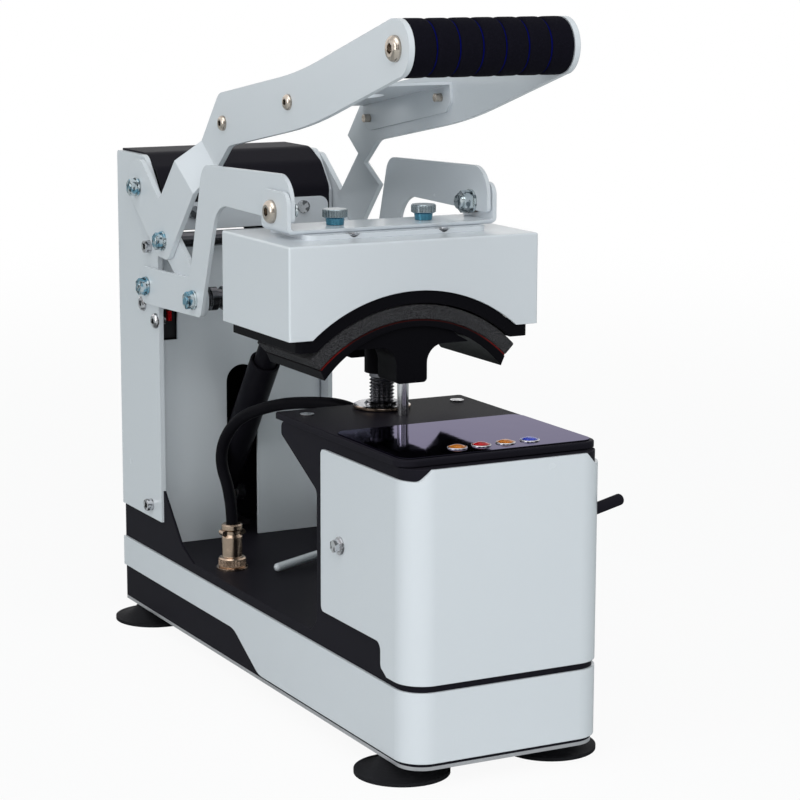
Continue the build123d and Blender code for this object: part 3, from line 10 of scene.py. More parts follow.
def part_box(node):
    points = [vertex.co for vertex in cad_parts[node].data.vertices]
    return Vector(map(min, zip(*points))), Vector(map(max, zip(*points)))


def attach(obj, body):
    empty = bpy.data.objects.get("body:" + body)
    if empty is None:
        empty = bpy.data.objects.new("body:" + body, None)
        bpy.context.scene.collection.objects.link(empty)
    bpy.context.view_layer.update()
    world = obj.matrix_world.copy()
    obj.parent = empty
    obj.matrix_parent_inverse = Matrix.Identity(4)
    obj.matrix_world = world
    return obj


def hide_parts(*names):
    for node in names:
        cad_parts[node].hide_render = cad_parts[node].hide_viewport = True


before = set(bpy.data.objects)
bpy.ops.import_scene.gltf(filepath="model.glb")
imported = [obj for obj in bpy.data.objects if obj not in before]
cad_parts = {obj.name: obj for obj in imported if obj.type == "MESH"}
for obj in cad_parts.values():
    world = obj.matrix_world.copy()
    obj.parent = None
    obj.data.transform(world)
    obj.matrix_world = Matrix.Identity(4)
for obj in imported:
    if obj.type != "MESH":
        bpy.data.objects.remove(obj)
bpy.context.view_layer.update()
pad_low, pad_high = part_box("foam_pad")
grip_low, grip_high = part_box("foam_grip")
wheel_low, wheel_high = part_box("adjuster_screw")
plug_low, plug_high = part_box("cable_plug")
thumb_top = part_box("thumb_screw_left")[1].z
lid_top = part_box("top_panel")[1].z
inlet_low, inlet_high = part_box("mains_inlet")

bl_info = {
    "name": "Cap Heat Press Finishes",
    "version": (1, 0, 0),
    "blender": (4, 5, 0),
    "location": "3D View > Sidebar > Press",
    "description": "Paint, metal, foam, cable and studio of the cap heat press",
    "category": "Object",
}

# Rounding that the shaders give to the edges of small pieces, in metres.
METAL_EDGE = 0.0003
MOULDED_EDGE = 0.0004

# Dull black coats and rubber reflect little at a low angle.
DULL_IOR = 1.28

# Sine waves round the connector's ring. The knurling has two ridges for each.
KNURLS = 34

# Small features that a shader finds by their place, in metres.
LENS_RADIUS = 0.0061
WHEEL_HEIGHT = 0.0042
RIM_WIDTH = 0.0012
RING_LOW, RING_HIGH = 0.0012, 0.0066
THUMB_HEAD = 0.0055
BLADES_FROM_SIDE = 0.024
BLADE_HALF_SPREAD, BLADE_HALF_HEIGHT = 0.0085, 0.0052
BLADE_FOOT, BLADE_TIP = 0.0145, 0.0028

# Control points of the cable, from the connector to the gland, as the part's source has them.
CABLE_ROUTE = (
    (-0.051, 0.0795, 0.108), (-0.051, 0.0795, 0.128), (-0.057, 0.0915, 0.160),
    (-0.050, 0.0745, 0.190), (-0.036, 0.0365, 0.206), (-0.022, 0.0025, 0.2125),
    (-0.004, -0.0245, 0.2135), (0.014, -0.0375, 0.199), (0.019, -0.0435, 0.174),
    (0.016, -0.0605, 0.156), (0.014, -0.0785, 0.150), (0.014, -0.0945, 0.150),
)

# Camera: place in metres, and turns in degrees.
CAMERA_PLACE = (-0.7989, -1.6127, 0.5478)
CAMERA_YAW, CAMERA_PITCH, CAMERA_ROLL = -27.81, -10.55, 0.17
LAMPS_AIM = Vector((0, 0, 0.22))
FLOOR_HALF = 7.0


# ---- settings --------------------------------------------------------------------------
def colour(name, description, default):
    """A colour setting."""
    return bpy.props.FloatVectorProperty(
        name=name, description=description, default=default, subtype="COLOR", size=3, min=0, max=1
    )


def length(name, description, default):
    """A length setting, in metres."""
    return bpy.props.FloatProperty(
        name=name, description=description, default=default, subtype="DISTANCE", unit="LENGTH",
        min=0
    )


def share(name, description, default):
    """A setting without a unit, from 0 to 1."""
    return bpy.props.FloatProperty(
        name=name, description=description, default=default, subtype="FACTOR", min=0, max=1
    )


def lamp(name, description, default):
    """The power of a lamp, in watts."""
    return bpy.props.FloatProperty(
        name=name, description=description, default=default, subtype="POWER", unit="POWER", min=0
    )


class PressPaint(bpy.types.PropertyGroup):
    """Powder coats of the sheet metal."""

    white: colour("White paint", "Cool white powder coat of covers and arms", (0.70, 0.735, 0.775))
    white_gloss: share("White roughness", "Roughness of the white powder coat", 0.27)
    black: colour("Black paint", "Fine-texture black powder coat", (0.012, 0.0112, 0.0155))
    black_gloss: share("Black roughness", "Roughness of the black powder coat", 0.46)
    cast: colour("Coated casting", "Black coat of platen and heat plate", (0.0048, 0.0046, 0.0062))
    edge: length("Edge rounding", "Radius that the coat gives to sheet edges", 0.0007)
    peel: length("Orange peel", "Depth of the coat's fine waviness", 0.00006)


class PressMetal(bpy.types.PropertyGroup):
    """Bare and plated metal."""

    steel: colour("Polished steel", "Rods and tubes", (0.62, 0.62, 0.64))
    dark_steel: colour("Dark steel", "Oiled shafts and the adjusting thread", (0.10, 0.10, 0.11))
    nickel: colour("Warm nickel", "Large button screws", (0.62, 0.545, 0.47))
    bronze: colour("Bronze nickel", "Round connector", (0.44, 0.335, 0.255))
    zinc: colour("Zinc", "Plated nuts", (0.72, 0.78, 0.80))
    zinc_blue: colour("Blue tint", "Blue passivation on the nuts", (0.20, 0.42, 0.54))
    brass: colour("Brass", "Blades of the mains inlet", (0.72, 0.54, 0.24))


class PressPlastic(bpy.types.PropertyGroup):
    """Plastics, films and rubber."""

    film: colour("Overlay film", "Glossy film on the control box", (0.0120, 0.0110, 0.0165))
    plastic: colour("Black plastic", "Inlet, rocker and switch", (0.014, 0.014, 0.016))
    rubber: colour("Rubber", "Feet", (0.016, 0.016, 0.018))
    liner: colour("Silicone", "Liner under the foam pad", (0.11, 0.005, 0.004))
    amber: colour("Amber lens", "Two of the buttons", (0.74, 0.22, 0.006))
    red: colour("Red lens", "Stop button and switch plunger", (0.66, 0.004, 0.008))
    blue: colour("Blue lens", "Last button", (0.035, 0.07, 0.66))
    board: colour("Circuit board", "Solder mask inside the control box", (0.012, 0.12, 0.05))


class PressFoam(bpy.types.PropertyGroup):
    """The foam pad on the lower platen and the foam sleeve of the handle."""

    pad: colour("Pad foam", "Dark closed-cell foam", (0.016, 0.0155, 0.0175))
    pad_fleck: colour("Pad flecks", "Pale cut cells of the foam", (0.15, 0.148, 0.155))
    pad_radius: length("Pad radius", "Outer radius of the curved pad", 0.1128)
    pad_wall: length("Pad thickness", "Foam thickness", 0.0105)
    pad_edge: length("Pad edge", "Rounding of the pad's cut edges", 0.0011)
    grip: colour("Grip foam", "Soft black foam", (0.0048, 0.0045, 0.0075))
    groove: colour("Groove", "Blue underlayer in the grip's grooves", (0.0015, 0.008, 0.30))
    bands: bpy.props.IntProperty(
        name="Bands", description="Swollen bands of the grip", default=7, min=1
    )
    valley: length("Groove depth", "Depth of the grooves between the bands", 0.0034)
    bore: length("Grip bore", "Radius of the tube inside the grip", 0.011)


class PressCable(bpy.types.PropertyGroup):
    """The lead from the control box to the connector on the deck."""

    diameter: length("Diameter", "Cable diameter", 0.009)
    run: length("Length", "Length from the connector to the gland", 0.309)
    jacket: colour("Jacket", "Rubber jacket", (0.0042, 0.004, 0.0055))


class PressStudio(bpy.types.PropertyGroup):
    """Floor, lamps and camera."""

    floor: colour("Floor", "Pale floor", (0.74, 0.75, 0.755))
    floor_glow: share("Floor white", "How far the floor is lifted to white in the picture", 0.93)
    fill: share("Fill", "Strength of the even light from all round", 0.15)
    fill_tint: colour("Fill tint", "Cool cast of the fill", (0.74, 0.98, 1.0))
    flags: share("Dark flags", "Darkness in front of the press in reflections", 0.88)
    front: lamp("Front lamp", "Soft lamp before the press", 23.0)
    left: lamp("Left lamp", "Soft lamp on the left", 17.5)
    top: lamp("Top lamp", "Wide even light from above, in watts per square metre", 1.15)
    lens: bpy.props.FloatProperty(
        name="Lens", description="Focal length of the camera", default=111.78,
        subtype="DISTANCE_CAMERA", min=1
    )


class PressSettings(bpy.types.PropertyGroup):
    """Everything that can be set."""

    paint: bpy.props.PointerProperty(type=PressPaint)
    metal: bpy.props.PointerProperty(type=PressMetal)
    plastic: bpy.props.PointerProperty(type=PressPlastic)
    foam: bpy.props.PointerProperty(type=PressFoam)
    cable: bpy.props.PointerProperty(type=PressCable)
    studio: bpy.props.PointerProperty(type=PressStudio)


# ---- shader writing --------------------------------------------------------------------
class Value:
    """A shader socket that can be added, scaled and compared like a number."""

    def __init__(self, finish, socket):
        self.finish = finish
        self.socket = socket

    def __add__(self, other):
        return self.finish.sum("ADD", self, other)

    def __sub__(self, other):
        return self.finish.sum("SUBTRACT", self, other)

    def __rsub__(self, other):
        return self.finish.sum("SUBTRACT", other, self)

    def __mul__(self, other):
        return self.finish.sum("MULTIPLY", self, other)

    def __pow__(self, other):
        return self.finish.sum("POWER", self, other)

    def __gt__(self, other):
        return self.finish.sum("GREATER_THAN", self, other)

    def __lt__(self, other):
        return self.finish.sum("LESS_THAN", self, other)

    def __abs__(self):
        return self.finish.sum("ABSOLUTE", self)


class Finish:
    """One material, written node by node."""

    def __init__(self, name, tree=None):
        if tree is None:
            self.material = bpy.data.materials.new(name)
            self.material.use_nodes = True
        self.tree = tree or self.material.node_tree
        self.tree.nodes.clear()
        self.place = self.node("ShaderNodeTexCoord", output="Generated" if tree else "Object")

    def node(self, kind, settings=None, inputs=None, output=0):
        """Adds a node, with its settings first and then the values or links of its sockets."""
        made = self.tree.nodes.new(kind)
        for key, value in (settings or {}).items():
            setattr(made, key, value)
        for key, value in (inputs or {}).items():
            if isinstance(value, Value):
                self.tree.links.new(value.socket, made.inputs[key])
            else:
                made.inputs[key].default_value = value
        return Value(self, made.outputs[output])

    def sum(self, operation, *terms):
        """A Math node on up to three numbers."""
        return self.node("ShaderNodeMath", {"operation": operation}, dict(enumerate(terms)))

    def axes(self):
        """The three coordinates of the point, in metres at rest, or of the way in a world."""
        return [self.node("ShaderNodeSeparateXYZ", inputs={0: self.place}, output=axis)
                for axis in range(3)]

    def cloud(self, scale, detail=2.0, place=None, stretch=None):
        """Soft noise from 0 to 1, with so many lumps per metre."""
        place = place or self.place
        if stretch:
            place = self.node(
                "ShaderNodeVectorMath", {"operation": "MULTIPLY"}, {0: place, 1: stretch}
            )
        inputs = {"Vector": place, "Scale": scale, "Detail": detail}
        return self.node("ShaderNodeTexNoise", inputs=inputs)

    def cells(self, scale, feature="F1"):
        """Distance from the middle of each cell, with so many cells per metre."""
        return self.node(
            "ShaderNodeTexVoronoi", {"feature": feature}, {"Vector": self.place, "Scale": scale}
        )

    def band(self, amount, low, high):
        """0 below low, 1 above high, and smooth between them."""
        return self.node(
            "ShaderNodeMapRange",
            {"interpolation_type": "SMOOTHSTEP"},
            {"Value": amount, "From Min": low, "From Max": high},
        )

    def blend(self, amount, first, second):
        """A colour between two colours."""
        sides = [rgb if isinstance(rgb, Value) else (*rgb, 1) for rgb in (first, second)]
        inputs = {0: amount, 6: sides[0], 7: sides[1]}
        return self.node("ShaderNodeMix", {"data_type": "RGBA"}, inputs, 2)

    def edges(self, radius):
        """Normal with rounded edges, and a mask that is 1 along those edges."""
        rounded = self.node("ShaderNodeBevel", {"samples": 4}, {"Radius": radius})
        flat = self.node("ShaderNodeNewGeometry", output="Normal")
        match = self.node(
            "ShaderNodeVectorMath", {"operation": "DOT_PRODUCT"}, {0: rounded, 1: flat}, "Value"
        )
        return rounded, self.band(1 - match, 0.02, 0.22)

    def painted_recess_shade(self, reach):
        """0 on open faces and 1 deep in corners and recesses, where painted shade goes."""
        settings = {"samples": 8}
        open_sky = self.node("ShaderNodeAmbientOcclusion", settings, {"Distance": reach}, "AO")
        return self.band(1 - open_sky, 0.28, 0.72)

    def relief(self, height, depth, normal=None, strength=1.0):
        """A bump from a height of 0 to 1, so many metres deep."""
        inputs = {"Height": height, "Distance": depth, "Strength": strength}
        if normal:
            inputs["Normal"] = normal
        return self.node("ShaderNodeBump", inputs=inputs)

    def surface(self, base, roughness, metallic=0.0, normal=None, **extra):
        """The closing shader."""
        inputs = {
            "Base Color": base if isinstance(base, Value) else (*base, 1),
            "Roughness": roughness,
            "Metallic": metallic,
        }
        if normal:
            inputs["Normal"] = normal
        inputs.update({key.replace("_", " "): value for key, value in extra.items()})
        self.close(self.node("ShaderNodeBsdfPrincipled", inputs=inputs))
        return self.material

    def close(self, shader, kind="ShaderNodeOutputMaterial"):
        """Ends the tree in this shader."""
        end = self.tree.nodes.new(kind)
        self.tree.links.new(shader.socket, end.inputs["Surface"])


def tone(rgb, factor):
    """A colour made lighter or darker."""
    return tuple(min(1.0, part * factor) for part in rgb)


def apply(material, *names):
    """Gives nodes of the model this material."""
    for name in names:
        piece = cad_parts[name]
        if not piece.material_slots:
            piece.data.materials.append(material)
        for slot in piece.material_slots:
            slot.material = material


# ---- finishes --------------------------------------------------------------------------
def white_coat(paint):
    """Semi-gloss white powder coat with orange peel, rounded and slightly rubbed edges."""
    finish = Finish("white_powder_coat")
    rounded, edge = finish.edges(paint.edge)
    drift = finish.cloud(7, 3)
    dust = finish.cloud(55, 5)
    base = finish.blend(drift, tone(paint.white, 0.985), tone(paint.white, 1.012))
    base = finish.blend(finish.band(dust, 0.60, 0.9) * 0.05, base, tone(paint.white, 0.85))
    base = finish.blend(edge * 0.35, base, tone(paint.white, 1.10))
    peel = finish.cloud(900, 2) * 0.6 + finish.cloud(240, 2) * 0.4
    rough = drift * 0.02 + dust * 0.015 + (paint.white_gloss - 0.02)
    return finish.surface(base, rough, normal=finish.relief(peel, paint.peel, rounded),
                          Coat_Weight=0.2, Coat_Roughness=0.10)


def black_coat(paint):
    """Fine-texture black powder coat that greys along its edges."""
    finish = Finish("black_powder_coat")
    rounded, edge = finish.edges(paint.edge)
    drift = finish.cloud(9, 3)
    grain = finish.cloud(1900, 3)
    base = finish.blend(drift, tone(paint.black, 0.8), tone(paint.black, 1.25))
    base = finish.blend(finish.band(grain, 0.58, 0.74) * 0.35, base, tone(paint.black, 2.4))
    base = finish.blend(edge * 0.5, base, tone(paint.black, 3.2))
    rough = grain * 0.12 + drift * 0.08 + (paint.black_gloss - 0.10)
    return finish.surface(base, rough, normal=finish.relief(grain, 0.00011, rounded, 0.7),
                          Specular_IOR_Level=0.06, IOR=DULL_IOR)


def cast_coat(paint):
    """Smooth black release coat on the castings, with a faint cast skin."""
    finish = Finish("coated_casting")
    rounded, edge = finish.edges(paint.edge)
    skin = finish.cloud(420, 4)
    drift = finish.cloud(14, 2)
    base = finish.blend(drift, tone(paint.cast, 0.75), tone(paint.cast, 1.3))
    base = finish.blend(edge * 0.45, base, tone(paint.cast, 4.0))
    return finish.surface(base, skin * 0.14 + drift * 0.08 + 0.30,
                          normal=finish.relief(skin, 0.00012, rounded, 0.6),
                          Specular_IOR_Level=0.07, IOR=DULL_IOR)


def satin_black(paint):
    """Satin stove enamel of the gas strut."""
    finish = Finish("satin_enamel")
    haze = finish.cloud(60, 4)
    lines = finish.cloud(300, 2, stretch=(1.0, 0.12, 0.12))
    base = finish.blend(haze, tone(paint.black, 0.55), tone(paint.black, 1.0))
    return finish.surface(base, haze * 0.10 + 0.26, normal=finish.relief(lines, 0.00003),
                          Specular_IOR_Level=0.09, IOR=DULL_IOR)


def polished(name, rgb, roughness, stretch=(1.0, 1.0, 0.03), painted_dark_reflection=0.0):
    """Bright metal with fine turning or drawing lines, patches of painted dark reflection and
    painted shade in its recesses.
    """
    finish = Finish(name)
    rounded, edge = finish.edges(METAL_EDGE)
    lines = finish.cloud(2600, 2, stretch=stretch)
    stain = finish.cloud(38, 4)
    base = finish.blend(stain, tone(rgb, 0.86), tone(rgb, 1.08))
    base = finish.blend(edge * 0.4, base, tone(rgb, 1.25))
    # Patches of painted dark reflection.
    patch = finish.band(finish.cloud(250, 1), 0.48, 0.58)
    base = finish.blend(patch * painted_dark_reflection, base, tone(rgb, 0.10))
    # Painted shade in corners and recesses.
    base = finish.blend(finish.painted_recess_shade(0.004) * 0.9, base, tone(rgb, 0.12))
    return finish.surface(base, lines * 0.10 + stain * 0.12 + (roughness - 0.08), 1.0,
                          finish.relief(lines, 0.00002, rounded))


def passivation_with_painted_shade(finish, metal):
    """Bright zinc with patches of blue film, near-black spots of painted dark reflection and
    painted shade in its recesses.
    """
    film = finish.cloud(170, 1)
    # Near-black spots of painted dark reflection.
    painted_reflection_spots = finish.cloud(290, 1)
    base = finish.blend(finish.band(film, 0.44, 0.56), metal.zinc, metal.zinc_blue)
    base = finish.blend(finish.band(painted_reflection_spots, 0.54, 0.62) * 0.85, base, tone(metal.zinc_blue, 0.10))
    # Painted shade in corners and recesses.
    return finish.blend(finish.painted_recess_shade(0.003) * 0.85, base, tone(metal.zinc_blue, 0.12))


def zinc_plate(metal):
    """Zinc with an uneven blue passivation."""
    finish = Finish("blue_zinc")
    rounded, edge = finish.edges(METAL_EDGE)
    spangle = finish.cloud(600, 3)
    base = finish.blend(edge * 0.4, passivation_with_painted_shade(finish, metal), tone(metal.zinc, 1.2))
    return finish.surface(base, spangle * 0.16 + 0.10, 1.0,
                          finish.relief(spangle, 0.00003, rounded))


def shaft_and_nuts(metal, name, seat):
    """Dark oiled shaft between the plates, zinc nuts outside them."""
    finish = Finish(name)
    rounded, edge = finish.edges(MOULDED_EDGE)
    nut = abs(finish.axes()[0]) > seat
    tint = finish.cloud(80, 3)
    lines = finish.cloud(2200, 2, stretch=(0.04, 1.0, 1.0))
    bare = finish.blend(tint, tone(metal.dark_steel, 0.7), tone(metal.dark_steel, 1.5))
    base = finish.blend(nut, bare, passivation_with_painted_shade(finish, metal))
    base = finish.blend(edge * 0.4, base, tone(metal.zinc, 1.2))
    return finish.surface(base, lines * 0.12 + tint * 0.08 + 0.14, 1.0,
                          finish.relief(lines, 0.00002, rounded))


def bracket_metal(metal, inner):
    """Warm nickel heads outside the arms, zinc nuts inside them with spots of painted dark
    reflection, and painted shade in recesses.
    """
    finish = Finish("bracket_metal")
    rounded, edge = finish.edges(METAL_EDGE)
    nut = abs(finish.axes()[0]) < inner
    stain = finish.cloud(160, 3)
    # Spots of painted dark reflection on the nuts.
    painted_reflection_spots = finish.band(finish.cloud(280, 1), 0.50, 0.60)
    head = finish.blend(stain, tone(metal.nickel, 0.62), tone(metal.nickel, 1.15))
    zinc_and_painted_reflection = finish.blend(painted_reflection_spots * 0.8, metal.zinc, tone(metal.zinc_blue, 0.15))
    base = finish.blend(edge * 0.4, finish.blend(nut, head, zinc_and_painted_reflection), tone(metal.zinc, 1.2))
    # Painted shade in corners and recesses.
    base = finish.blend(finish.painted_recess_shade(0.004) * 0.9, base, tone(metal.nickel, 0.10))
    return finish.surface(base, stain * 0.14 + 0.10, 1.0, finish.relief(stain, 0.00002, rounded))


def adjuster_metal(metal):
    """Bright wheel with a warm rim under a dark oiled thread."""
    finish = Finish("adjuster_metal")
    rounded, edge = finish.edges(METAL_EDGE)
    x, y, z = finish.axes()
    middle = (wheel_low.y + wheel_high.y) / 2
    radius = (x * x + (y - middle) * (y - middle)) ** 0.5
    wheel = z < lid_top + WHEEL_HEIGHT
    rim = finish.band(radius, wheel_high.x - RIM_WIDTH, wheel_high.x - RIM_WIDTH / 3)
    turned = finish.node("ShaderNodeCombineXYZ", inputs={0: radius * 2600, 2: z * 900})
    rings = finish.cloud(1, 2, place=turned)
    face = finish.blend(rim, tone(metal.steel, 1.15), metal.bronze)
    stem = finish.blend(rings, tone(metal.dark_steel, 0.8), tone(metal.dark_steel, 2.2))
    base = finish.blend(edge * 0.35, finish.blend(wheel, stem, face), tone(metal.steel, 1.3))
    return finish.surface(base, rings * 0.12 + 0.14, 1.0, finish.relief(rings, 0.00002, rounded))


def connector_metal(metal):
    """Bronze-toned nickel with a knurled coupling ring."""
    finish = Finish("connector_metal")
    rounded, edge = finish.edges(METAL_EDGE)
    x, y, z = finish.axes()
    spot = (plug_low + plug_high) / 2
    turn = finish.sum("ARCTAN2", y - spot.y, x - spot.x)
    slant = (z - plug_low.z) * 3000
    rising = abs(finish.sum("SINE", turn * KNURLS + slant))
    knurl = rising * abs(finish.sum("SINE", turn * KNURLS - slant))
    ring = (z > plug_low.z + RING_LOW) * (z < plug_low.z + RING_HIGH)
    stain = finish.cloud(160, 4)
    lines = finish.cloud(2400, 2, stretch=(0.05, 0.05, 1.0))
    base = finish.blend(stain, tone(metal.bronze, 0.72), tone(metal.bronze, 1.35))
    # Painted shade in the knurl's valleys.
    base = finish.blend((1 - knurl) * ring * 0.6, base, tone(metal.bronze, 0.35))
    base = finish.blend(edge * 0.4, base, tone(metal.nickel, 1.2))
    height = knurl * ring * 6 + lines * 0.6
    return finish.surface(base, stain * 0.16 + lines * 0.06 + 0.14, 1.0,
                          finish.relief(height, 0.00006, rounded))


def thumb_metal(metal):
    """Blue zinc collar under a greyer knurled head."""
    finish = Finish("thumb_screw_metal")
    rounded, edge = finish.edges(MOULDED_EDGE)
    z = finish.axes()[2]
    head = z > thumb_top - THUMB_HEAD
    tint = finish.cloud(120, 3)
    collar = finish.blend(tint, (0.05, 0.20, 0.30), (0.14, 0.38, 0.50))
    crown = finish.blend(tint, (0.22, 0.27, 0.30), (0.40, 0.45, 0.47))
    base = finish.blend(edge * 0.5, finish.blend(head, collar, crown), tone(metal.zinc, 0.8))
    return finish.surface(base, tint * 0.14 + 0.18, 1.0, finish.relief(tint, 0.00002, rounded))


def overlay_film(plastic):
    """Near-black glossy film with a faint haze and fine wiping marks.

    It is written as a dark metal, whose tint shows only at a low angle, for the film's lilac sheen.
    """
    finish = Finish("overlay_film")
    haze = finish.cloud(24, 4)
    wipes = finish.cloud(420, 2, stretch=(0.08, 1.0, 1.0))
    base = finish.blend(haze, plastic.film, tone(plastic.film, 1.7))
    rough = finish.band(haze, 0.45, 0.85) * 0.06 + finish.band(wipes, 0.60, 0.85) * 0.05 + 0.035
    return finish.surface(base, rough, 1.0, finish.relief(haze, 0.00005),
                          Specular_Tint=(0.70, 0.67, 0.84, 1.0))


def moulded(name, rgb, roughness=0.42, grain=1400):
    """Moulded black plastic with a spark-eroded grain."""
    finish = Finish(name)
    rounded, edge = finish.edges(MOULDED_EDGE)
    pits = finish.cloud(grain, 3)
    drift = finish.cloud(20, 2)
    base = finish.blend(drift, tone(rgb, 0.8), tone(rgb, 1.3))
    base = finish.blend(edge * 0.3, base, tone(rgb, 2.6))
    return finish.surface(base, pits * 0.16 + (roughness - 0.08),
                          normal=finish.relief(pits, 0.00008, rounded), Specular_IOR_Level=0.25)


def bezel_plastic(plastic, metal):
    """Button body: black below the film, and above it a bright ring round the lens colour."""
    finish = Finish("button_bezel")
    x, y, z = finish.axes()
    base, radius = plastic.plastic, None
    for name, rgb in (("button_amber_left", plastic.amber), ("button_red", plastic.red),
                      ("button_amber_right", plastic.amber), ("button_blue", plastic.blue)):
        low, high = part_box(name)
        spot = (low + high) / 2
        out = ((x - spot.x) * (x - spot.x) + (y - spot.y) * (y - spot.y)) ** 0.5
        base = finish.blend(out < LENS_RADIUS, base, tone(rgb, 0.5))
        radius = out if radius is None else finish.sum("MINIMUM", radius, out)
    above = z > lid_top + 0.00005
    ring = above * (radius > LENS_RADIUS)
    haze = finish.cloud(500, 3)
    base = finish.blend(above, plastic.plastic, base)
    base = finish.blend(ring, base, tone(metal.steel, 0.8))
    return finish.surface(base, haze * 0.12 + 0.10, ring, Specular_IOR_Level=0.2)


def inlet_plastic(plastic, metal):
    """Black inlet body with brass blades inside its cup."""
    finish = Finish("inlet_plastic")
    x, y, z = finish.axes()
    across = abs(x - (inlet_low.x + BLADES_FROM_SIDE)) < BLADE_HALF_SPREAD
    along = (y > inlet_high.y - BLADE_FOOT) * (y < inlet_high.y - BLADE_TIP)
    blade = across * along * (abs(z - (inlet_low.z + inlet_high.z) / 2) < BLADE_HALF_HEIGHT)
    pits = finish.cloud(1300, 3)
    base = finish.blend(pits, tone(plastic.plastic, 0.8), tone(plastic.plastic, 1.5))
    base = finish.blend(blade, base, metal.brass)
    return finish.surface(base, pits * 0.14 + 0.30 - blade * 0.12, blade,
                          finish.relief(pits, 0.00006))


def lens_plastic(name, rgb):
    """Clear-topped coloured lens with moulded facets under the surface."""
    finish = Finish(name)
    facets = finish.cells(900)
    depth = finish.cloud(260, 2)
    base = finish.blend(facets * 1.4, tone(rgb, 1.15), tone(rgb, 0.45))
    base = finish.blend(depth * 0.35, base, tone(rgb, 0.7))
    return finish.surface(base, facets * 0.04 + 0.08, normal=finish.relief(depth, 0.00008),
                          Specular_IOR_Level=0.22)


def moulded_rubber(plastic):
    """Moulded rubber with faint rings and a dusting of pale grit."""
    finish = Finish("foot_rubber")
    grit = finish.cloud(700, 4)
    dust = finish.cloud(45, 5)
    z = finish.axes()[2]
    rings = finish.sum("SINE", z * 5200) * 0.5 + 0.5
    dusty = finish.band(dust, 0.5, 0.85) * 0.35
    base = finish.blend(dusty, plastic.rubber, tone(plastic.rubber, 3.0))
    base = finish.blend(finish.band(grit, 0.66, 0.8) * 0.3, base, tone(plastic.rubber, 3.5))
    return finish.surface(base, grit * 0.16 + 0.44,
                          normal=finish.relief(grit + rings * 0.5, 0.00009),
                          Specular_IOR_Level=0.05, IOR=DULL_IOR)


def silicone(plastic):
    """Satin red silicone with a fabric print, darker towards its outer ends."""
    finish = Finish("silicone_liner")
    weave = finish.cells(1500)
    drift = finish.cloud(30, 3)
    outer = finish.band(abs(finish.axes()[0]), 0.045, 0.062)
    base = finish.blend(outer, tone(plastic.liner, 0.22), tone(plastic.liner, 1.3))
    base = finish.blend(drift * 0.3, base, tone(plastic.liner, 0.3))
    return finish.surface(base, weave * 0.2 + 0.38, normal=finish.relief(weave, 0.00006),
                          Specular_IOR_Level=0.1)


def circuit_mask(plastic):
    """Green solder mask with copper-coloured tracks under it."""
    finish = Finish("solder_mask")
    tracks = finish.cells(260, "DISTANCE_TO_EDGE")
    base = finish.blend(finish.band(tracks, 0.05, 0.12), tone(plastic.board, 2.0), plastic.board)
    return finish.surface(base, finish.cloud(300, 2) * 0.15 + 0.25,
                          normal=finish.relief(tracks, 0.00004))


def pad_foam(foam):
    """Closed-cell foam: dark walls, pale flecks where cells are cut open."""
    finish = Finish("pad_foam")
    pores = finish.cells(1900)
    fine = finish.cloud(1700, 1)
    patch = finish.cloud(40, 3)
    fleck = finish.band(fine, 0.46, 0.60)
    base = finish.blend(patch, tone(foam.pad, 0.8), tone(foam.pad, 1.25))
    base = finish.blend(fleck * 0.6, base, foam.pad_fleck)
    return finish.surface(base, fine * 0.1 + 0.80,
                          normal=finish.relief(pores + fine * 0.6, 0.00045),
                          Specular_IOR_Level=0.08)


def grip_foam(foam):
    """Soft black foam with fine pores, blue at the bottom of the grooves."""
    finish = Finish("grip_foam")
    middle = (grip_low + grip_high) / 2
    radius = (grip_high.z - grip_low.z) / 2
    y, z = finish.axes()[1:]
    out = ((y - middle.y) * (y - middle.y) + (z - middle.z) * (z - middle.z)) ** 0.5
    pores = finish.cells(2100)
    fine = finish.cloud(1500, 3)
    low = 1 - finish.band(out, radius - foam.valley * 0.80, radius - foam.valley * 0.34)
    base = finish.blend(fine, tone(foam.grip, 0.8), tone(foam.grip, 1.5))
    base = finish.blend(finish.band(pores, 0.45, 0.8) * 0.4, base, tone(foam.grip, 3.0))
    base = finish.blend(low, base, foam.groove)
    return finish.surface(base, fine * 0.12 + 0.72,
                          normal=finish.relief(pores + fine * 0.5, 0.0002),
                          Specular_IOR_Level=0.06, IOR=DULL_IOR)


def cable_jacket(cable):
    """Satin rubber jacket with a soft bloom."""
    finish = Finish("cable_jacket")
    bloom = finish.cloud(90, 4)
    skin = finish.cloud(1300, 3)
    base = finish.blend(bloom, tone(cable.jacket, 0.75), tone(cable.jacket, 1.6))
    return finish.surface(base, bloom * 0.14 + 0.34, normal=finish.relief(skin, 0.00006),
                          Specular_IOR_Level=0.07, IOR=DULL_IOR)


# ---- shapes ----------------------------------------------------------------------------
def new_piece(name, mesh_maker, material, body):
    """A smooth-shaded mesh piece that rides on a body."""
    shape = bmesh.new()
    mesh_maker(shape)
    bmesh.ops.recalc_face_normals(shape, faces=shape.faces)
    mesh = bpy.data.meshes.new(name)
    shape.to_mesh(mesh)
    shape.free()
    mesh.materials.append(material)
    for face in mesh.polygons:
        face.use_smooth = True
    piece = bpy.data.objects.new(name, mesh)
    bpy.context.scene.collection.objects.link(piece)
    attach(piece, body)
    return piece


def loop_skin(shape, loops, ring=False):
    """Skins a row of equal closed loops of points, capped at its ends or joined into a ring."""
    rows = [[shape.verts.new(point) for point in loop] for loop in loops]
    count = len(rows[0])
    for first, second in zip(rows, rows[1:] + rows[:1] * ring):
        for k in range(count):
            after = (k + 1) % count
            shape.faces.new((first[k], first[after], second[after], second[k]))
    if not ring:
        shape.faces.new(rows[0])
        shape.faces.new(rows[-1])


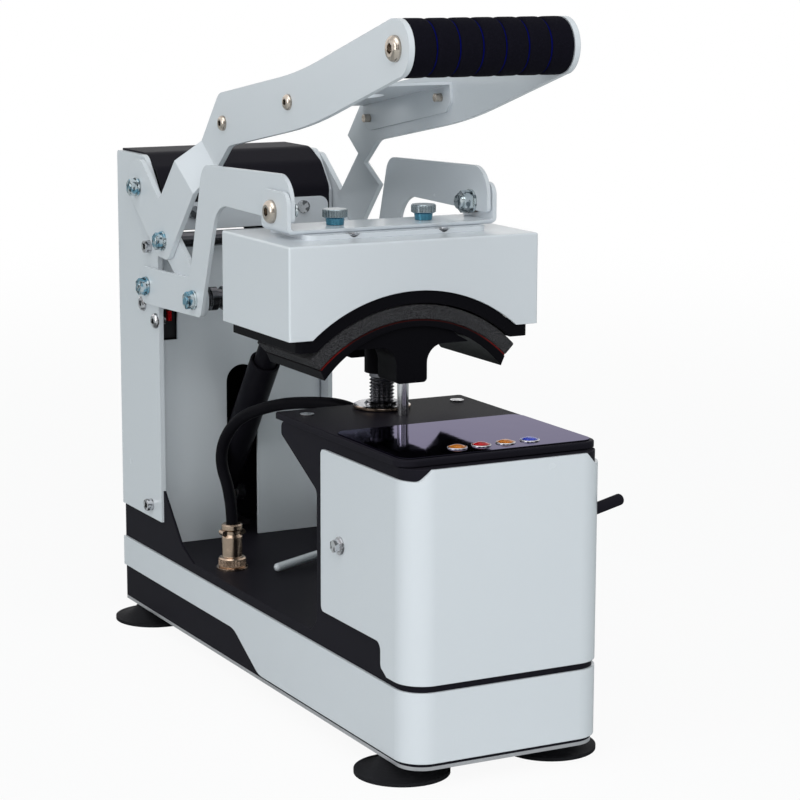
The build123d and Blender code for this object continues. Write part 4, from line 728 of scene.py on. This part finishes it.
def rounded_section(low, high, corner, inset, steps=5, side=14):
    """Points round a rounded rectangle between two corners, pulled in by inset."""
    left, bottom, right, top = low[0] + inset, low[1] + inset, high[0] - inset, high[1] - inset
    corner = min(corner, (top - bottom) / 2.2)
    points = []
    painted_reflection_spots = [(right - corner, top - corner, 0), (left + corner, top - corner, 90),
             (left + corner, bottom + corner, 180), (right - corner, bottom + corner, 270)]
    for index, (across, up, start) in enumerate(painted_reflection_spots):
        for step in range(steps + 1):
            angle = radians(start + 90 * step / steps)
            points.append((across + corner * cos(angle), up + corner * sin(angle)))
        after = painted_reflection_spots[(index + 1) % 4]
        end = radians(start + 90)
        from_point = (across + corner * cos(end), up + corner * sin(end))
        to_point = (after[0] + corner * cos(end), after[1] + corner * sin(end))
        for step in range(1, side):
            part = step / side
            points.append((from_point[0] + (to_point[0] - from_point[0]) * part,
                           from_point[1] + (to_point[1] - from_point[1]) * part))
    return points


def pad_mesh(foam):
    """The curved foam pad: a rounded section carried round the arch, with shallow dents."""
    outer, wall, edge = foam.pad_radius, foam.pad_wall, foam.pad_edge
    centre = pad_high.z - outer
    half_turn = asin(pad_high.x / outer)
    stops = [edge * (1 - cos(pi / 2 * k / 4)) / outer for k in range(5)]
    inner_stops = 96
    span = half_turn - stops[-1]
    turns = [(-half_turn + stop, stop * outer) for stop in stops]
    turns += [(-span + 2 * span * k / inner_stops, edge) for k in range(1, inner_stops)]
    turns += [(half_turn - stop, stop * outer) for stop in reversed(stops)]

    def fill(shape):
        loops = []
        for turn, depth in turns:
            inset = edge - sqrt(max(0.0, edge**2 - (edge - min(depth, edge)) ** 2))
            section = rounded_section((pad_low.y, outer - wall), (pad_high.y, outer), edge, inset)
            loop = []
            for y, radius in section:
                spot = Vector((radius * sin(turn), y, centre + radius * cos(turn)))
                dent = (noise.noise(spot * 30) * 0.5 + 0.5) * 0.00022
                inward = 1 if radius > outer - wall / 2 else -1
                spot -= Vector((sin(turn), 0, cos(turn))) * dent * inward
                loop.append(spot)
            loops.append(loop)
        loop_skin(shape, loops)

    return fill


def grip_mesh(foam):
    """The foam sleeve: swollen bands with narrow grooves, turned about the handle's tube."""
    middle = (grip_low + grip_high) / 2
    radius = (grip_high.z - grip_low.z) / 2
    band = (grip_high.x - grip_low.x) / foam.bands
    profile = [(grip_low.x + 0.0001, foam.bore)]
    for index in range(foam.bands):
        start = grip_low.x + band * (index + 0.5)
        for step in range(25):
            across = -cos(pi * step / 24)
            # Nearly flat on top, and steep at both ends of the band.
            swell = (1 - abs(across) ** 7) ** 0.42
            depth = foam.valley if 0 < index + (across > 0) < foam.bands else foam.valley * 0.7
            profile.append((start + across * band * 0.4985, radius - depth * (1 - swell)))
    profile.append((grip_high.x - 0.0001, foam.bore))
    sides = 112

    def fill(shape):
        loops = []
        for x, out in profile:
            loop = []
            for k in range(sides):
                turn = 2 * pi * k / sides
                way = Vector((0, cos(turn), sin(turn)))
                spot = middle + way * out + Vector((x, 0, 0))
                dent = (noise.noise(spot * 45) * 0.5 + 0.5) * 0.0003 * (out > foam.bore + 0.001)
                loop.append(Vector((x, middle.y, middle.z)) + way * (out - dent))
            loops.append(loop)
        loop_skin(shape, loops, ring=True)

    return fill


# ---- operators -------------------------------------------------------------------------
class PRESS_OT_white_paint(bpy.types.Operator):
    """White powder coat on covers, arms, handle, column and head"""

    bl_idname = "press.white_paint"
    bl_label = "White Paint"

    def execute(self, context):
        material = white_coat(context.scene.press.paint)
        apply(material, "front_cover", "base_skirt", "side_plate_left", "side_plate_right",
              "column_panel", "cross_plate", "arm_left", "arm_right", "head_bracket", "mount_plate",
              "head_housing", "handle_arm_left", "handle_arm_right", "handle_brace", "links",
              "deck_lever")
        return {"FINISHED"}


class PRESS_OT_black_paint(bpy.types.Operator):
    """Black coats on the chassis, lid, hood, strut and side lever"""

    bl_idname = "press.black_paint"
    bl_label = "Black Paint"

    def execute(self, context):
        paint = context.scene.press.paint
        apply(black_coat(paint), "chassis", "top_panel", "rear_hood", "rear_panel", "side_lever")
        apply(satin_black(paint), "strut_cylinder", "strut_rod")
        return {"FINISHED"}


class PRESS_OT_heat_parts(bpy.types.Operator):
    """Heat plate, lower platen, silicone liner and heating element"""

    bl_idname = "press.heat_parts"
    bl_label = "Heat Parts"

    def execute(self, context):
        settings = context.scene.press
        apply(cast_coat(settings.paint), "heat_plate", "lower_platen")
        apply(silicone(settings.plastic), "silicone_liner")
        apply(polished("element_steel", tone(settings.metal.steel, 0.6), 0.4), "heating_element")
        return {"FINISHED"}


class PRESS_OT_fasteners(bpy.types.Operator):
    """Bolts, nuts, screws and thumb screws"""

    bl_idname = "press.fasteners"
    bl_label = "Fasteners"

    def execute(self, context):
        metal = context.scene.press.metal
        apply(zinc_plate(metal), "pivot_bolts")
        # The last setting is the share of painted dark reflection patches.
        apply(polished("warm_nickel", metal.nickel, 0.16, painted_dark_reflection=0.3), "handle_screws")
        apply(bracket_metal(metal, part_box("arm_right")[0].x), "bracket_bolts")
        screw_steel = polished("screw_steel", tone(metal.steel, 1.1), 0.18, painted_dark_reflection=0.8)
        apply(screw_steel, "frame_screws", "mount_screws")
        apply(thumb_metal(metal), "thumb_screw_left", "thumb_screw_right")
        return {"FINISHED"}


class PRESS_OT_shafts(bpy.types.Operator):
    """Shafts, rods, adjusting screw, tube and sheet left bare"""

    bl_idname = "press.shafts"
    bl_label = "Shafts And Rods"

    def execute(self, context):
        metal = context.scene.press.metal
        for shaft, plate in (("arm_bar", "arm_right"), ("knee_shaft", "handle_arm_right")):
            apply(shaft_and_nuts(metal, shaft + "_metal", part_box(plate)[1].x), shaft)
        apply(adjuster_metal(metal), "adjuster_screw")
        apply(polished("drawn_steel", metal.steel, 0.14, (1.0, 1.0, 0.02)), "guide_rod")
        apply(polished("plain_steel", tone(metal.steel, 0.9), 0.30, (0.05, 1.0, 1.0)), "base_plate",
              "strut_mount", "grip_tube")
        return {"FINISHED"}


class PRESS_OT_controls(bpy.types.Operator):
    """Overlay, buttons, switches, inlet, board and feet"""

    bl_idname = "press.controls"
    bl_label = "Controls"

    def execute(self, context):
        plastic, metal = context.scene.press.plastic, context.scene.press.metal
        apply(overlay_film(plastic), "control_overlay")
        apply(bezel_plastic(plastic, metal), "button_bodies")
        apply(lens_plastic("amber_lens", plastic.amber), "button_amber_left", "button_amber_right")
        apply(lens_plastic("red_lens", plastic.red), "button_red", "switch_plunger")
        apply(lens_plastic("blue_lens", plastic.blue), "button_blue")
        apply(moulded("black_plastic", plastic.plastic), "microswitch", "power_rocker")
        apply(inlet_plastic(plastic, metal), "mains_inlet")
        apply(circuit_mask(plastic), "control_board")
        apply(moulded_rubber(plastic), "rubber_feet")
        return {"FINISHED"}


class PRESS_OT_foam_pad(bpy.types.Operator):
    """Curved foam pad on the lower platen"""

    bl_idname = "press.foam_pad"
    bl_label = "Foam Pad"

    def execute(self, context):
        foam = context.scene.press.foam
        pad = new_piece("foam_pad_soft", pad_mesh(foam), pad_foam(foam), "platen")
        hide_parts("foam_pad")
        return {"FINISHED"}


class PRESS_OT_grip(bpy.types.Operator):
    """Foam sleeve on the handle"""

    bl_idname = "press.grip"
    bl_label = "Grip"

    def execute(self, context):
        foam = context.scene.press.foam
        grip = new_piece("grip_sleeve", grip_mesh(foam), grip_foam(foam), "handle")
        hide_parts("foam_grip")
        return {"FINISHED"}


class PRESS_OT_cable(bpy.types.Operator):
    """Cable from the connector on the deck to the gland in the control box"""

    bl_idname = "press.cable"
    bl_label = "Cable"

    def execute(self, context):
        settings = context.scene.press
        cable = settings.cable
        curve = bpy.data.curves.new("cable_jacket", "CURVE")
        curve.dimensions = "3D"
        spline = curve.splines.new("NURBS")
        spline.points.add(len(CABLE_ROUTE) - 1)
        for point, place in zip(spline.points, CABLE_ROUTE):
            point.co = (*place, 1)
        spline.order_u = 3
        spline.use_endpoint_u = True
        spline.resolution_u = 16
        curve.bevel_depth = cable.diameter / 2
        curve.bevel_resolution = 8
        curve.use_fill_caps = True
        curve.materials.append(cable_jacket(cable))
        piece = bpy.data.objects.new("cable_jacket", curve)
        context.scene.collection.objects.link(piece)
        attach(piece, "frame")
        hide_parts("cable")
        apply(connector_metal(settings.metal), "cable_plug", "panel_socket")
        apply(moulded("gland_nylon", settings.plastic.plastic, 0.36), "cable_gland")
        return {"FINISHED"}


class PRESS_OT_stage(bpy.types.Operator):
    """Pale floor, soft lamps, white surroundings and the camera"""

    bl_idname = "press.stage"
    bl_label = "Studio"

    def execute(self, context):
        studio = context.scene.press.studio
        self.floor(context, studio)
        self.surroundings(context, studio)
        # The size is the side of an area lamp in metres, or the spread of the sun in radians.
        for name, kind, power, size, place in (
            ("front_lamp", "AREA", studio.front, 1.5, (-0.35, -2.3, 1.25)),
            ("left_lamp", "AREA", studio.left, 1.5, (-2.25, -0.55, 0.95)),
            ("top_light", "SUN", studio.top, 1.1, (-0.5, -0.9, 2.3)),
        ):
            lamp_data = bpy.data.lights.new(name, kind)
            lamp_data.energy = power
            if kind == "AREA":
                lamp_data.shape = "SQUARE"
                lamp_data.size = size
            else:
                lamp_data.angle = size
            shown = bpy.data.objects.new(name, lamp_data)
            shown.location = place
            aim = LAMPS_AIM - Vector(place)
            shown.rotation_euler = aim.to_track_quat("-Z", "Y").to_euler()
            # Its reflection would turn the lid and the brace white, seen from behind.
            shown.visible_glossy = name != "front_lamp"
            context.scene.collection.objects.link(shown)
        camera = bpy.data.cameras.new("camera")
        camera.lens = studio.lens
        camera.sensor_width = 36
        eye = bpy.data.objects.new("camera", camera)
        yaw, pitch = radians(CAMERA_YAW), radians(CAMERA_PITCH)
        ahead = Vector((sin(-yaw) * cos(pitch), cos(-yaw) * cos(pitch), sin(pitch)))
        level = ahead.to_track_quat("-Z", "Y").to_matrix().to_4x4()
        turn = level @ Matrix.Rotation(radians(CAMERA_ROLL), 4, "Z")
        turn.translation = CAMERA_PLACE
        eye.matrix_world = turn
        context.scene.collection.objects.link(eye)
        context.scene.camera = eye
        context.scene.view_settings.view_transform = "Standard"
        return {"FINISHED"}

    def floor(self, context, studio):
        """A wide pale floor that keeps the shadow and goes to white in the picture."""
        shape = bmesh.new()
        bmesh.ops.create_grid(shape, x_segments=8, y_segments=8, size=FLOOR_HALF)
        mesh = bpy.data.meshes.new("floor")
        shape.to_mesh(mesh)
        shape.free()
        finish = Finish("floor_paper")
        fibre = finish.cloud(160, 4)
        tint = finish.blend(fibre, tone(studio.floor, 0.99), tone(studio.floor, 1.01))
        paper = finish.node("ShaderNodeBsdfDiffuse", inputs={"Color": tint})
        white = finish.node("ShaderNodeEmission", inputs={"Color": (1, 1, 1, 1), "Strength": 1.0})
        seen = finish.node("ShaderNodeLightPath", output="Is Camera Ray")
        x, y = finish.axes()[:2]
        far = finish.band((x * x + y * y) ** 0.5, 0.8, 2.8)
        amount = seen * (far * (1 - studio.floor_glow) + studio.floor_glow)
        finish.close(finish.node("ShaderNodeMixShader", inputs={0: amount, 1: paper, 2: white}))
        mesh.materials.append(finish.material)
        floor = bpy.data.objects.new("floor", mesh)
        context.scene.collection.objects.link(floor)

    def surroundings(self, context, studio):
        """White to the eye, and a soft fill to the surfaces.

        In reflections it is white too, but dark in front of the press, apart from two light strips.
        """
        world = bpy.data.worlds.new("studio")
        context.scene.world = world
        world.use_nodes = True
        air = Finish("studio_air", world.node_tree)
        way = air.axes()
        before = air.band(way[1] * -1, -0.10, 0.45)
        strips = air.band(abs(way[0] - 0.30), 0.16, 0.24) * air.band(abs(way[0] + 0.42), 0.10, 0.18)
        dark = before * air.band(0.8 - way[2], 0.0, 0.25) * strips
        white = 1 - dark * studio.flags
        seen = air.node("ShaderNodeLightPath", output="Is Camera Ray")
        through = air.node("ShaderNodeLightPath", output="Is Transmission Ray")
        mirrored = air.node("ShaderNodeLightPath", output="Is Glossy Ray")
        plain = air.sum("MINIMUM", seen + through, 1)
        diffuse = (1 - plain) * (1 - mirrored)
        strength = plain + (1 - plain) * mirrored * white + diffuse * studio.fill
        tint = air.blend(diffuse, (1, 1, 1), studio.fill_tint)
        shade = air.node("ShaderNodeBackground", inputs={"Color": tint, "Strength": strength})
        air.close(shade, "ShaderNodeOutputWorld")


OPERATORS = (
    PRESS_OT_stage, PRESS_OT_cable, PRESS_OT_white_paint, PRESS_OT_black_paint, PRESS_OT_heat_parts,
    PRESS_OT_fasteners, PRESS_OT_shafts, PRESS_OT_controls, PRESS_OT_foam_pad, PRESS_OT_grip,
)


class PRESS_PT_panel(bpy.types.Panel):
    """Buttons and settings in the sidebar"""

    bl_label = "Cap Heat Press"
    bl_idname = "PRESS_PT_panel"
    bl_space_type = "VIEW_3D"
    bl_region_type = "UI"
    bl_category = "Press"

    def draw(self, context):
        for operator in OPERATORS:
            self.layout.operator(operator.bl_idname)
        for name in ("paint", "metal", "plastic", "foam", "cable", "studio"):
            group = getattr(context.scene.press, name)
            box = self.layout.box()
            box.label(text=name.title())
            for prop in group.__annotations__:
                box.prop(group, prop)


CLASSES = (
    PressPaint, PressMetal, PressPlastic, PressFoam, PressCable, PressStudio, PressSettings,
    *OPERATORS, PRESS_PT_panel,
)


def register():
    for item in CLASSES:
        bpy.utils.register_class(item)
    bpy.types.Scene.press = bpy.props.PointerProperty(type=PressSettings)


def unregister():
    del bpy.types.Scene.press
    for item in reversed(CLASSES):
        bpy.utils.unregister_class(item)


def main():
    register()
    for operator in OPERATORS:
        getattr(bpy.ops.press, operator.bl_idname.split(".")[1])()


if __name__ == "__main__":
    main()
